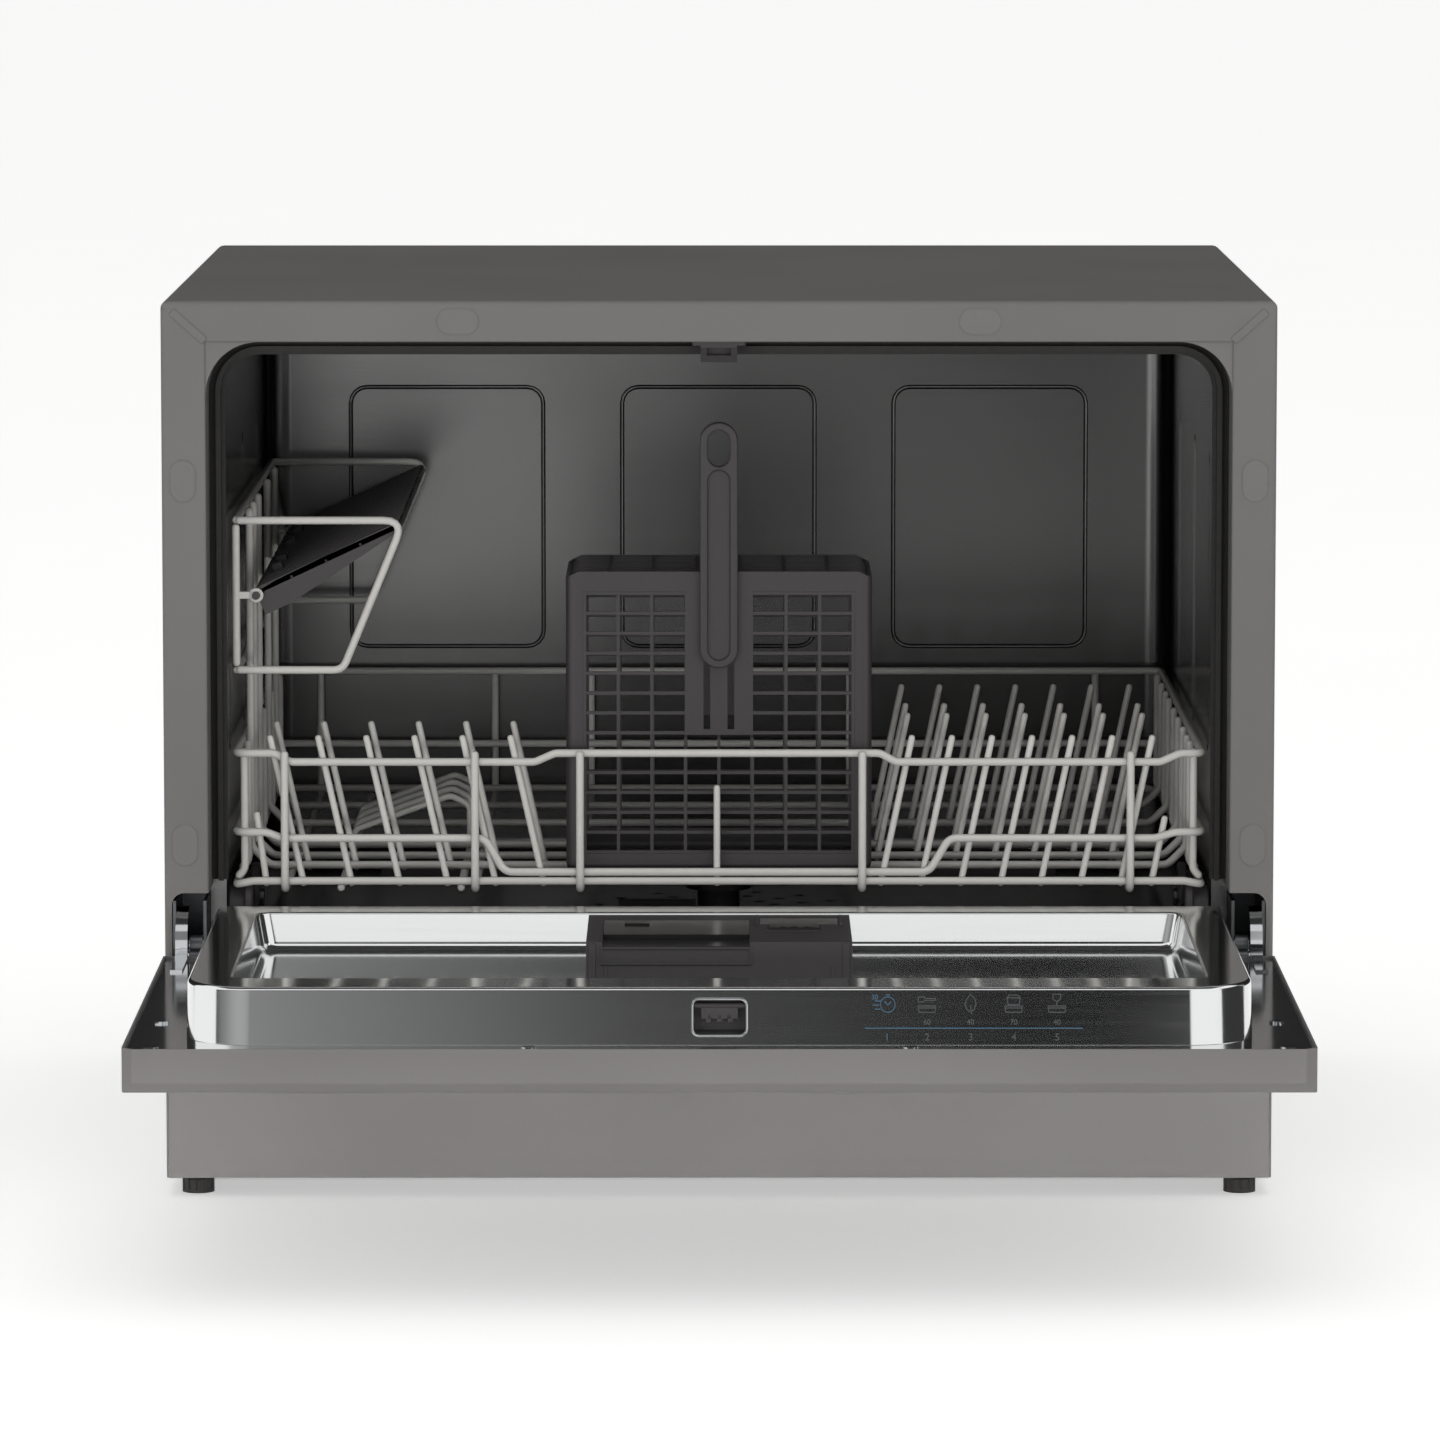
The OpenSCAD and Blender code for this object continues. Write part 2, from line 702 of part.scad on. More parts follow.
// Two tapered paddles on a hub, with a row of jets
module spray_arm() color("#5b5e60") at_front() translate([0, spray_y, 0]) difference() {
  union() {
    z_rod(arm_z, arm_z + 15, 0, 0, 17);
    translate([0, 0, arm_z + 3]) linear_extrude(8) polygon([
      [-spray_reach, -9], [-40, -16], [0, -16], [40, -16], [spray_reach, -9],
      [spray_reach, 9], [40, 16], [0, 16], [-40, 16], [-spray_reach, 9]
    ]);
  }
  z_rod(arm_z - 1, seat_top + 10.5, 0, 0, spigot_r + run_clear);
  for (s = [-1, 1], x = [50:30:spray_reach - 20]) z_rod(arm_z, arm_z + 12, s * x, s * 4, 1.5);
}

pump_x = -half_w + 125;
pump_z = 56;

// Circulation pump with its flow heater and the pipe to the sump
module wash_pump() color("#595b5d") at_front() {
  x_rod(pump_x - 45, pump_x + 25, spray_y, pump_z, 30);
  x_rod(pump_x + 25 - edge, pump_x + 35, spray_y, pump_z, 24);
  x_rod(pump_x + 35 - edge, -50, spray_y, pump_z, 14);
  z_rod(pump_z, sump_z, -60, spray_y, 7);
  box([pump_x - 35, spray_y - 20, foot_h + tray_t], [pump_x + 15, spray_y + 20, pump_z]);
}

drain_z = 46;

module drain_pump() color("#595b5d") at_front() {
  x0 = outlet_x - 60;
  x_rod(x0, outlet_x, spray_y, drain_z, 22);
  z_rod(drain_z, sump_z, x0 + 6, spray_y, 5);
  box([x0 + 10, spray_y - 14, foot_h + tray_t], [outlet_x - 10, spray_y + 14, drain_z]);
}

module inlet_valve() color(white) at_front() difference() {
  union() {
    y_rod(body_d - 46, body_d + 12, valve_x, valve_z, valve_r);
    y_rod(body_d - 4, body_d - sheet_t, valve_x, valve_z, valve_r + 4);
    box([valve_x - 17, body_d - 50, foot_h + tray_t], [valve_x + 17, body_d - 22, valve_z + 20]);
  }
  y_rod(body_d - 20, body_d + 13, valve_x, valve_z, valve_r - 3);
}

// Flat tank beside the tub, on a leg that stands in the tray
module air_break_tank() color("#c9c7c0") at_front() {
  x0 = -half_w + sheet_t + 1;
  x1 = x0 + 16;
  leg_z = 60;
  box([x0, mouth_recess + 47, leg_z], [x1, tub_back - 30, tub_top_z - 20]);
  box([x0 + 6, spray_y - 32, foot_h + tray_t], [x1, spray_y + 48, leg_z + edge]);
}

hose_r = 8;

// Fill hose to the air-break tank and drain hose to the outlet
module inner_hoses() color("#3a3a3a") at_front() {
  fill_y = body_d - 69;
  tank_x = -half_w + sheet_t + 17;
  fill_z = 36;
  drain_y = body_d - 27;
  wire([
    [valve_x, body_d - 50, fill_z], [valve_x, fill_y, fill_z], [tank_x + 42, fill_y, fill_z],
    [tank_x + 42, spray_y + 28, fill_z], [tank_x, spray_y + 28, fill_z]
  ], 6, gap = 0);
  pipe_x = outlet_x + 26;
  wire([
    [outlet_x, spray_y, drain_z], [pipe_x, spray_y, drain_z], [pipe_x, spray_y, outlet_z],
    [pipe_x, drain_y, outlet_z], [outlet_x, drain_y, outlet_z], [outlet_x, body_d - 14, outlet_z]
  ], hose_r, gap = 0);
}

module drain_outlet() color(dark) at_front() difference() {
  union() {
    y_rod(body_d - 14, body_d + 18, outlet_x, outlet_z, outlet_r);
    y_rod(body_d - 4, body_d - sheet_t, outlet_x, outlet_z, outlet_r + 5);
  }
  y_rod(body_d - 1, body_d + 19, outlet_x, outlet_z, outlet_r - 2.5);
}

module power_terminal() color(dark) at_front() difference() {
  union() {
    box([gland_x - 30, body_d - 52, foot_h + tray_t], [gland_x + 30, body_d - 20, gland_z + 18]);
    y_rod(body_d - 21, body_d + 8, gland_x, gland_z, gland_r);
  }
  y_rod(body_d - 16, body_d + 9, gland_x, gland_z, 4);
}

// Door

// Outline of the door from above, with its two far corners bevelled
module panel_plan(w, f, n) {
  b = door_bevel;
  polygon([[-w, n], [-w, f + b], [-w + b, f], [w - b, f], [w, f + b], [w, n]]);
}

// Bevelled block of the door panel, shrunk by inset on its sides and underside
module panel_block(inset, top) {
  w = half_w - inset;
  z0 = panel_z0 + inset;
  n = door_near - inset;
  f = door_far + inset;
  b = door_bevel;
  intersection() {
    along_x(-w, w) polygon([[f, top], [f, z0 + b], [f + b, z0], [n - b, z0], [n, z0 + b], [n, top]]);
    translate([0, 0, z0]) linear_extrude(top - z0) panel_plan(w, f, n);
  }
}

fascia_w = 360;
fascia_d = 40;
fascia_y = door_far + 12;
grip_w = 110;
grip_d = 26;
grip_y = fascia_y + fascia_d + 6;
grip_h = 13;

module door_panel() color(paint) at_front() difference() {
  panel_block(0, rim_z);
  panel_block(sheet_t, rim_z + 1);
  box([-fascia_w / 2, fascia_y, panel_z0 - 1], [fascia_w / 2, fascia_y + fascia_d, panel_z0 + 3]);
  box([-grip_w / 2, grip_y, panel_z0 - 1], [grip_w / 2, grip_y + grip_d, panel_z0 + 3]);
}

// The raised hat, shrunk by inset, from z0 to its rim; its far wall leans back
module hat(inset, z0) {
  top = liner_top - inset;
  far = liner_far + inset;
  near = liner_near - inset;
  w = liner_half - inset;
  intersection() {
    translate([0, 0, z0]) linear_extrude(top - z0) {
      round_rect([-w, far], [w, near], liner_r - inset);
      translate([-w, near - liner_r]) square([2 * w, liner_r]);
    }
    along_x(-half_w, half_w) polygon([
      [far, z0 - 1], [far, plate_z], [far + liner_draft, liner_top],
      [far + liner_draft, liner_top + 1], [near, liner_top + 1], [near, z0 - 1]
    ]);
  }
}

// The basin pressed into the hat, grown by grow
module basin(grow) {
  w = liner_half - liner_rim + grow;
  n = basin_near + grow;
  f = liner_far + liner_draft + liner_rim_far - grow;
  z0 = basin_z - grow;
  b = basin_draft;
  z1 = liner_top;
  z2 = liner_top + 1;
  intersection() {
    along_x(-w, w) polygon([[f, z2], [f, z1], [f + b, z0], [n - b, z0], [n, z1], [n, z2]]);
    along_y(f, n) polygon([[-w, z2], [-w, z1], [-w + b, z0], [w - b, z0], [w, z1], [w, z2]]);
  }
}

mouth_hole_w = 24;
mouth_hole_z = [plate_z + 5, plate_z + 20];
latch_far = liner_far + 15;

module door_liner() color(steel) at_front() difference() {
  w = half_w - sheet_t - touch;
  union() {
    translate([0, 0, plate_z - liner_t]) linear_extrude(liner_t) {
      panel_plan(w, door_far + sheet_t + touch, door_near - sheet_t - touch);
    }
    hat(0, plate_z - liner_t);
  }
  basin(0);
  difference() {
    hat(liner_t, plate_z - 10);
    basin(liner_t);
  }
  box([-mouth_hole_w / 2, liner_far - 1, mouth_hole_z[0]], [mouth_hole_w / 2, latch_far, mouth_hole_z[1]]);
}

module door_insulation() color("#2f2d2b") at_front() {
  w = liner_half - 6;
  box([-w, grip_y + grip_d + 4, panel_z0 + sheet_t], [w, door_near - 6, panel_z0 + 10]);
}

screw_x = [half_w - 13, half_w - 13, 88];
screw_y = [door_far + 92.3, door_far + 12.3, door_far + 12.3];

module door_screws() color(chrome) at_front() pair() for (i = [0:2]) {
  difference() {
    z_rod(plate_z, plate_z + 1, screw_x[i], screw_y[i], 3.5);
    box([screw_x[i] - 2, screw_y[i] - 0.4, plate_z + 0.4], [screw_x[i] + 2, screw_y[i] + 0.4, plate_z + 2]);
    box([screw_x[i] - 0.4, screw_y[i] - 2, plate_z + 0.4], [screw_x[i] + 0.4, screw_y[i] + 2, plate_z + 2]);
  }
}

// Controls in the door's outer face

button_y = fascia_y + fascia_d / 2;
button_x0 = fascia_w / 2 - 120;
button_r = button_d / 2;
window_w = 60;
window_h = 18;

module control_fascia() color("#2b2b2c") at_front() difference() {
  w = fascia_w / 2;
  y1 = fascia_y + fascia_d;
  ww = window_w / 2 + fit;
  wh = window_h / 2 + fit;
  union() {
    box([-w + fit, fascia_y + fit, panel_z0], [w - fit, y1 - fit, panel_z0 + 2]);
    box([-w - 3, fascia_y - 3, panel_z0 + sheet_t], [w + 3, y1 + 3, panel_z0 + 3]);
  }
  for (i = [0:button_n - 1]) {
    z_rod(panel_z0 - 1, panel_z0 + 4, button_x0 + i * button_pitch, button_y, button_r + run_clear);
  }
  box([-ww, button_y - wh, panel_z0 - 1], [ww, button_y + wh, panel_z0 + 4]);
}

module display_window() color("#151617") at_front() {
  w = window_w / 2;
  h = window_h / 2;
  box([-w, button_y - h, panel_z0], [w, button_y + h, panel_z0 + 3]);
}

module control_board() color("#2c5a3a") at_front() {
  w = fascia_w / 2 - 20;
  box([-w, fascia_y + 2, panel_z0 + 9], [w, fascia_y + fascia_d - 4, panel_z0 + 10.6]);
  for (s = [-1, 1]) z_rod(panel_z0 + 3, panel_z0 + 9, s * (fascia_w / 2 - 30), button_y, 3);
}

module button_at(i) {
  x = button_x0 + i * button_pitch;
  z_rod(panel_z0 + edge, panel_z0 + 4, x, button_y, button_r);
  z_rod(panel_z0 + 3 + weld_gap, panel_z0 + 4.5, x, button_y, button_r + 1.5);
  z_rod(panel_z0 + 4, panel_z0 + 9 - button_travel - touch, x, button_y, 2);
}

module power_button() color("#8d8f91") at_front() button_at(0);

module program_button() color("#8d8f91") at_front() button_at(1);

module delay_button() color("#8d8f91") at_front() button_at(2);

module start_button() color("#8d8f91") at_front() button_at(3);

module grip_cup() color(dark) at_front() difference() {
  w = grip_w / 2;
  y1 = grip_y + grip_d;
  box([-w + fit, grip_y + fit, panel_z0], [w - fit, y1 - fit, panel_z0 + grip_h + 1.5]);
  box([-w + 2, grip_y + 2, panel_z0 - 1], [w - 2, y1 - 2, panel_z0 + grip_h]);
}

// Dispenser in the liner's basin

disp_near = hinge_y - disp_set;
disp_far = disp_near - disp_l;
disp_top = liner_top - 0.4;
disp_slope = 8;
lid_x0 = -56;
lid_x1 = 14.6;
lid_near = disp_near - 20;
lid_l = 50;
lid_t = 2;
lid_travel = 42;
flap_x0 = 20;
flap_x1 = 58;
flap_near = disp_near - 12;
flap_l = 22;
flap_t = 2;
flap_pin_r = 1;
flap_pin_y = flap_near - 0.8;
flap_pin_z = disp_top - 1.5;

module dispenser_body() color(dark) at_front() difference() {
  along_x(-disp_w / 2, disp_w / 2) polygon([
    [disp_near, basin_z], [disp_near, disp_top], [disp_far + disp_slope, disp_top], [disp_far, basin_z]
  ]);
  // Detergent cup
  box([lid_x0 + 4, lid_near - lid_l + 5, disp_top - 13], [lid_x1 - 4, lid_near - 5, disp_top + 1]);
  // Track of the sliding lid
  box([lid_x0 - fit, disp_far - 1, disp_top - lid_t - touch], [lid_x1 + fit, lid_near + touch, disp_top + 1]);
  // Seat and filler hole of the rinse-aid flap
  seat_z = disp_top - flap_t - touch;
  box([flap_x0 - fit, flap_near - flap_l - touch, seat_z], [flap_x1 + fit, flap_near + 1, disp_top + 1]);
  box([flap_x0 - fit, flap_near - 3, seat_z - 1.5], [flap_x1 + fit, flap_near + 1, disp_top + 1]);
  x_rod(flap_x0 - 2, flap_x1 + 2, flap_pin_y, flap_pin_z, flap_pin_r + run_clear);
  z_rod(disp_top - 12, disp_top, (flap_x0 + flap_x1) / 2, flap_near - flap_l / 2 - 3, 6);
}

module detergent_lid() color("#3c3a3b") at_front() {
  box([lid_x0, lid_near - lid_l, disp_top - lid_t], [lid_x1, lid_near, disp_top]);
  box([lid_x0 + 10, lid_near - 16, disp_top - edge], [lid_x0 + 22, lid_near - 6, disp_top + 0.8]);
}

module rinse_aid_flap() color("#3c3a3b") at_front() {
  box([flap_x0, flap_near - flap_l, disp_top - flap_t], [flap_x1, flap_pin_y, disp_top]);
  x_rod(flap_x0 - 1.8, flap_x1 + 1.8, flap_pin_y, flap_pin_z, flap_pin_r);
}

// Latch in the liner's far wall

tongue_y = liner_far + 10.5;
tongue_z = mouth_hole_z[1] - 3;
tongue_w = 17;
tongue_l = 6;
tongue_pin_r = 1.4;

// Inner face of the hat's far wall at the height z
function wall_y(z) = liner_far + liner_t + liner_draft * (z - plate_z) / (liner_top - plate_z);

module latch_housing() color(dark) at_front() difference() {
  z0 = plate_z + 1;
  z1 = plate_z + 23;
  along_x(-mouth_hole_w / 2 - 3, mouth_hole_w / 2 + 3) polygon([
    [wall_y(z0) + weld_gap, z0], [wall_y(z1) + weld_gap, z1], [latch_far + 1.5, z1], [latch_far + 1.5, z0]
  ]);
  box([-mouth_hole_w / 2, liner_far, mouth_hole_z[0]], [mouth_hole_w / 2, latch_far, mouth_hole_z[1]]);
  x_rod(-mouth_hole_w / 2 - 2, mouth_hole_w / 2 + 2, tongue_y, tongue_z, tongue_pin_r + run_clear);
}

module latch_tongue() color("#5b595a") at_front() difference() {
  union() {
    x_rod(-mouth_hole_w / 2 - 1.5, mouth_hole_w / 2 + 1.5, tongue_y, tongue_z, tongue_pin_r);
    box([-tongue_w / 2, tongue_y - 1, tongue_z - tongue_l], [tongue_w / 2, tongue_y + 1, tongue_z]);
  }
  z0 = tongue_z - tongue_l;
  for (x = [-4.5, 0, 4.5]) box([x - 0.8, tongue_y - 2, z0 - 1], [x + 0.8, tongue_y, z0 + 2]);
}

// Rack

// Front wires: each point's place across as a fraction of the half width, and its drop
rim_path = [
  [-1, 0], [-0.9195, 0], [-0.888, rim_dip], [-0.3809, rim_dip], [-0.3394, 0],
  [0.334, 0], [0.3651, rim_dip], [0.9141, rim_dip], [0.9556, 0], [1, 0]
];
side_drop = 3;
mid_path = [
  [-1, 0], [-0.9378, 0], [-0.9046, side_drop], [-0.4855, side_drop], [-0.444, mid_drop],
  [0.4357, mid_drop], [0.4772, side_drop], [0.9046, side_drop], [0.9461, 0], [1, 0]
];

function front_wire(path, z) = [for (p = path) [p[0] * rack_half, rail_y, z - p[1]]];

function rear_corners(z) = [[rack_half, rear_rail_y, z], [-rack_half, rear_rail_y, z]];

hairpin_y = [for (d = [-37, -7, 23, 53]) spray_y + d];
post_bend = 9.45;

module rack_frame() color(wire_grey) at_front() {
  // Rim: front wire with its dips, then both sides and the rear
  wire(concat(front_wire(rim_path, rack_rim_z), rear_corners(rack_rim_z)), wire_r, ring = true);
  // Middle rail
  wire(concat(front_wire(mid_path, rack_mid_z), rear_corners(rack_mid_z)), wire_r, ring = true);
  // Lowest ring: front and rear cross wires, and the runners on the rollers
  wire([
    [-rail_in, rail_y, cross_z], [rail_in, rail_y, cross_z], [rack_half, rail_y, runner_z],
    [rack_half, rear_rail_y, runner_z], [rail_in, rear_rail_y, cross_z], [-rail_in, rear_rail_y, cross_z],
    [-rack_half, rear_rail_y, runner_z], [-rack_half, rail_y, runner_z]
  ], wire_r, ring = true);
  // Long U wires: front upright, floor and rear upright
  for (x = upright_x) wire([
    [x, rack_front, rack_rim_z + 1], [x, rack_front, floor_z],
    [x, rack_rear, floor_z], [x, rack_rear, rack_rim_z + 1]
  ], wire_r);
  // Floor wires that carry the bowl rest
  for (x = floor_wire_x) wire([[x, rail_y + wire_d, floor_z], [x, rear_rail_y, floor_z]], wire_r);
  // Short cross wire under the basket
  wire([[upright_x[2] - 5.5, 60, cross_z], [upright_x[3] + 5.5, 60, cross_z]], wire_r);
  // Cross wires that turn up into side posts, taller on the left where they carry the cup frame
  for (y = cross_y) {
    x = post_x - post_bend;
    z = cross_z + post_bend;
    wire([
      [-post_x, y, cup_top_z + 2], [-post_x, y, z], [-x, y, cross_z],
      [x, y, cross_z], [post_x, y, z], [post_x, y, rack_rim_z + 2]
    ], wire_r);
  }
  // Side posts that bend out to stand on the runners
  for (s = [-1, 1], y = side_post_y) wire([
    [s * post_x, y, rack_rim_z + 2], [s * post_x, y, post_foot_z + rack_half - post_x],
    [s * rack_half, y, post_foot_z]
  ], wire_r);
  // Cup frame: two loops and the wires between them
  for (y = [cup_front, cup_rear]) wire([
    [-rack_half, y, cup_top_z], [-rack_half + cup_reach, y, cup_top_z],
    [-rack_half + cup_reach - cup_setback, y, cup_low_z], [-rack_half, y, cup_low_z]
  ], wire_r);
  for (z = [cup_low_z, cup_top_z]) {
    wire([[-rack_half, cup_front + wire_r, z], [-rack_half, cup_rear - wire_r, z]], wire_r);
  }
  // Uprights with eyes for the cup shelf's pins
  for (y = [cup_front, cup_rear]) {
    wire([[-rack_half, y, cup_low_z + wire_r], [-rack_half, y, cup_top_z - wire_r]], wire_r);
    difference() {
      x0 = -rack_half + wire_r + weld_gap;
      box([x0, y - 1, shelf_pin_z - 5], [shelf_pin_x + 5, y + 1, shelf_pin_z + 5]);
      y_rod(y - 2, y + 2, shelf_pin_x, shelf_pin_z, shelf_pin_r + run_clear);
    }
  }
}

tine_low_z = cross_z - wire_r - 0.9;

// A row of n leaning plate tines at y, between the places across in ends
module tine_row(y, ends, n, lean) {
  pitch = (ends[1] - ends[0]) / (n - 1);
  for (i = [0:n - 1]) {
    x = ends[0] + i * pitch;
    wire([[x, y, tine_low_z], [x + lean, y, tine_top_z]], tine_r);
  }
}

behind = wire_r + tine_r + weld_gap;

module rack_tines() color(wire_grey) at_front() {
  for (y = [rail_y, cross_y[0]]) tine_row(y + behind, tine_x_l, tine_n_l, -tine_lean);
  for (y = [rail_y, cross_y[1], cross_y[2], cross_y[3]]) {
    tine_row(y + behind, tine_x_r, tine_n_r, tine_lean - 1);
  }
  // Short pins at the corners and in front of the basket: foot, top and height
  left_x = upright_x[0] - 9.4;
  right_x = upright_x[4] + 10.7;
  for (p = [[left_x, left_x - 5, 188], [right_x, right_x + 7, 186], [-1, -1, 201.5]]) {
    wire([[p[0], tine_y, tine_low_z], [p[1], tine_y, p[2]]], tine_r);
  }
  // Bowl rest: slanted hairpins on the floor wires
  rest_z = floor_z + wire_r + weld_gap;
  x0 = floor_wire_x[0];
  x1 = floor_wire_x[1];
  for (y = hairpin_y) {
    wire([[x0, y, rest_z], [x0, y, 159], [x1 - 10, y, 177], [x1, y, 172], [x1, y, rest_z]], tine_r);
  }
}

// Cup shelf, drawn level and then raised to its parked angle about its pin
shelf_y0 = cup_front + wire_r + touch;
shelf_y1 = cup_rear - wire_r - touch;
shelf_n = 12;
shelf_rib = 11;

module shelf_flat() {
  pitch = (shelf_y1 - shelf_y0) / shelf_n;
  difference() {
    box([0, shelf_y0, 0], [shelf_l, shelf_y1, shelf_t]);
    for (j = [0:shelf_n - 1], i = [0:3]) {
      y = shelf_y0 + j * pitch;
      box([9 + i * 17, y + 3, -1], [22 + i * 17, y + pitch - 3, shelf_t + 1]);
    }
  }
  for (y = [shelf_y0, shelf_y1 - 2]) along_y(y, y + 2) {
    polygon([[0, edge], [0, -shelf_rib], [14, -shelf_rib], [shelf_l, -1], [shelf_l, edge]]);
  }
  y_rod(shelf_y0 - 6, shelf_y1 + 6, 0, 0, shelf_pin_r);
}

module cup_shelf() color(dark) at_front() {
  translate([shelf_pin_x, 0, shelf_pin_z]) rotate([0, -shelf_angle, 0]) shelf_flat();
}

// Cutlery basket

function basket_lo() = [-basket_w / 2, basket_y, basket_z];
function basket_hi() = [basket_w / 2, basket_y + basket_d, basket_z + basket_h];
rim_h = 10;
win_z0 = basket_z + 10;
win_z1 = basket_z + basket_h - rim_h;
plate_half = 17;
track_h = 72;
lug_x = 6;
lug_w = 3;
lug_h = 8;
lug_z = handle_z + 4;
handle_travel = 35;

module basket_shell() color(dark) at_front() difference() {
  lo = basket_lo();
  hi = basket_hi();
  t = basket_t;
  f = basket_frame;
  box(lo, hi);
  box(lo + [t, t, t], hi + [-t, -t, 1]);
  // Windows that hold the grids
  box([lo[0] + f, lo[1] - 1, win_z0], [hi[0] - f, hi[1] + 1, win_z1 - track_h]);
  box([lo[0] + f, lo[1] - 1, win_z1 - track_h - edge], [-plate_half, hi[1] + 1, win_z1]);
  box([plate_half, lo[1] - 1, win_z1 - track_h - edge], [hi[0] - f, hi[1] + 1, win_z1]);
  box([lo[0] - 1, lo[1] + f, win_z0], [hi[0] + 1, hi[1] - f, win_z1]);
  // Floor slots
  for (i = [-3:3]) box([i * 19 - 6, lo[1] + 10, lo[2] - 1], [i * 19 + 6, hi[1] - 10, lo[2] + t + 1]);
  // Slots that guide the handle's lugs
  w = lug_w / 2 + fit;
  for (x = [-lug_x, lug_x]) {
    box([x - w, lo[1] - 1, lug_z - handle_travel - fit], [x + w, lo[1] + t + 1, lug_z + lug_h + fit]);
  }
}

// Flat grid of bars with nx by nz windows, from its low to its high corner
module grid(lo, hi, nx, nz) {
  px = (hi[0] - lo[0] - grid_bar) / nx;
  pz = (hi[1] - lo[1] - grid_bar) / nz;
  difference() {
    translate(lo) square(hi - lo);
    for (i = [0:nx - 1], j = [0:nz - 1]) {
      translate(lo + [grid_bar + i * px, grid_bar + j * pz]) square([px - grid_bar, pz - grid_bar]);
    }
  }
}

grid_rows = 13;
separator_nx = 7;
separator_ny = 5;

module basket_grids() color("#4d4a4b") at_front() {
  lo = basket_lo();
  hi = basket_hi();
  f = basket_frame + weld_gap;
  inset = 0.2;
  z0 = win_z0 + weld_gap;
  z1 = win_z1 - weld_gap;
  for (y = [lo[1] + inset, hi[1] - basket_t + inset]) along_y(y, y + basket_t - 2 * inset) difference() {
    grid([lo[0] + f, z0], [hi[0] - f, z1], 8, grid_rows);
    translate([-plate_half - weld_gap, z1 - track_h]) square([2 * (plate_half + weld_gap), track_h + 1]);
  }
  for (x = [lo[0] + inset, hi[0] - basket_t + inset]) along_x(x, x + basket_t - 2 * inset) {
    grid([lo[1] + f, z0], [hi[1] - f, z1], 4, grid_rows);
  }
  // Separator in the basket's mouth: bars across it, on bars along its depth
  rim = basket_t + weld_gap;
  x0 = lo[0] + rim;
  y0 = lo[1] + rim;
  z2 = hi[2] - 3;
  half_bar = grid_bar / 2;
  for (j = [1:separator_ny - 1]) {
    y = lo[1] + basket_d * j / separator_ny;
    box([x0, y - half_bar, z2], [hi[0] - rim, y + half_bar, z2 + 1.5]);
  }
  for (i = [1:separator_nx - 1]) {
    x = lo[0] + basket_w * i / separator_nx;
    box([x - half_bar, y0, z2 - 2], [x + half_bar, hi[1] - rim, z2 - weld_gap]);
  }
}

handle_t = 5;
handle_rail = 4;
finger_h = 18;

// Long loop that slides up in the basket's front plate
module basket_handle() color("#524f50") at_front() {
  y1 = basket_y - touch;
  y0 = y1 - handle_t;
  z1 = handle_z + handle_l;
  w = handle_x - handle_rail;
  finger_z = z1 - handle_rail - finger_h;
  difference() {
    along_y(y0, y1) round_rect([-handle_x, handle_z], [handle_x, z1], handle_x - edge);
    along_y(y0 - 1, y1 + 1) round_rect([-w, finger_z], [w, z1 - handle_rail], w - edge);
    // Channel down its front
    along_y(y0 - 1, y0 + handle_t / 2) round_rect([-w, handle_z + handle_rail], [w, finger_z - 2], w - edge);
  }
  for (x = [-lug_x, lug_x]) {
    box([x - lug_w / 2, y1 - edge, lug_z], [x + lug_w / 2, basket_y + basket_t + 1, lug_z + lug_h]);
  }
}

outer_wrap();
rear_panel();
base_tray();
kick_plate();
flange_plugs();
corner_fillers();
front_foot_left();
front_foot_right();
rear_feet();
tub();
tub_insulation();
door_gasket();
mouth_sill();
bottom_seal();
door_strike();
hinge_brackets();
hinge_pins();
door_springs();
roller_pins();
sump();
filter_plate();
filter_cup();
float();
spray_seat();
spray_arm();
wash_pump();
drain_pump();
inlet_valve();
air_break_tank();
inner_hoses();
drain_outlet();
power_terminal();
door_panel();
door_liner();
door_insulation();
hinge_arms();
door_screws();
control_fascia();
display_window();
control_board();
grip_cup();
power_button();
program_button();
delay_button();
start_button();
dispenser_body();
detergent_lid();
rinse_aid_flap();
latch_housing();
latch_tongue();
rack_frame();
rack_tines();
cup_shelf();
basket_shell();
basket_grids();
basket_handle();
roller_front_left();
roller_front_right();
roller_rear_left();
roller_rear_right();
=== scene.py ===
import math

import bmesh
import bpy
from mathutils import Matrix, Vector


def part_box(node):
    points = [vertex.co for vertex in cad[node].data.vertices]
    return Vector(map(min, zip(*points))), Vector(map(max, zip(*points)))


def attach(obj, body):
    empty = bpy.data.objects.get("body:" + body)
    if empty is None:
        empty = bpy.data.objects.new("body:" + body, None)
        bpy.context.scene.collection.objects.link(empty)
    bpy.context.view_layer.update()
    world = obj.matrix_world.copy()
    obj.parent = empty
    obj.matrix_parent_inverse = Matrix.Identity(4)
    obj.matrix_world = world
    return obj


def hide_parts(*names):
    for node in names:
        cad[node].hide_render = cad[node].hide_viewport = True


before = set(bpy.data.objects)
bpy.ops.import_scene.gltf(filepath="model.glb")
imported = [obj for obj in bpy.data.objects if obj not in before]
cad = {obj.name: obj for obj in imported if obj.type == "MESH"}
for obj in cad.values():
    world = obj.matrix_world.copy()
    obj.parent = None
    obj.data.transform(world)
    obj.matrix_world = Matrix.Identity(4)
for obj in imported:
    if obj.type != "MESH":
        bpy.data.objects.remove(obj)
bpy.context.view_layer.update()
scene = bpy.context.scene

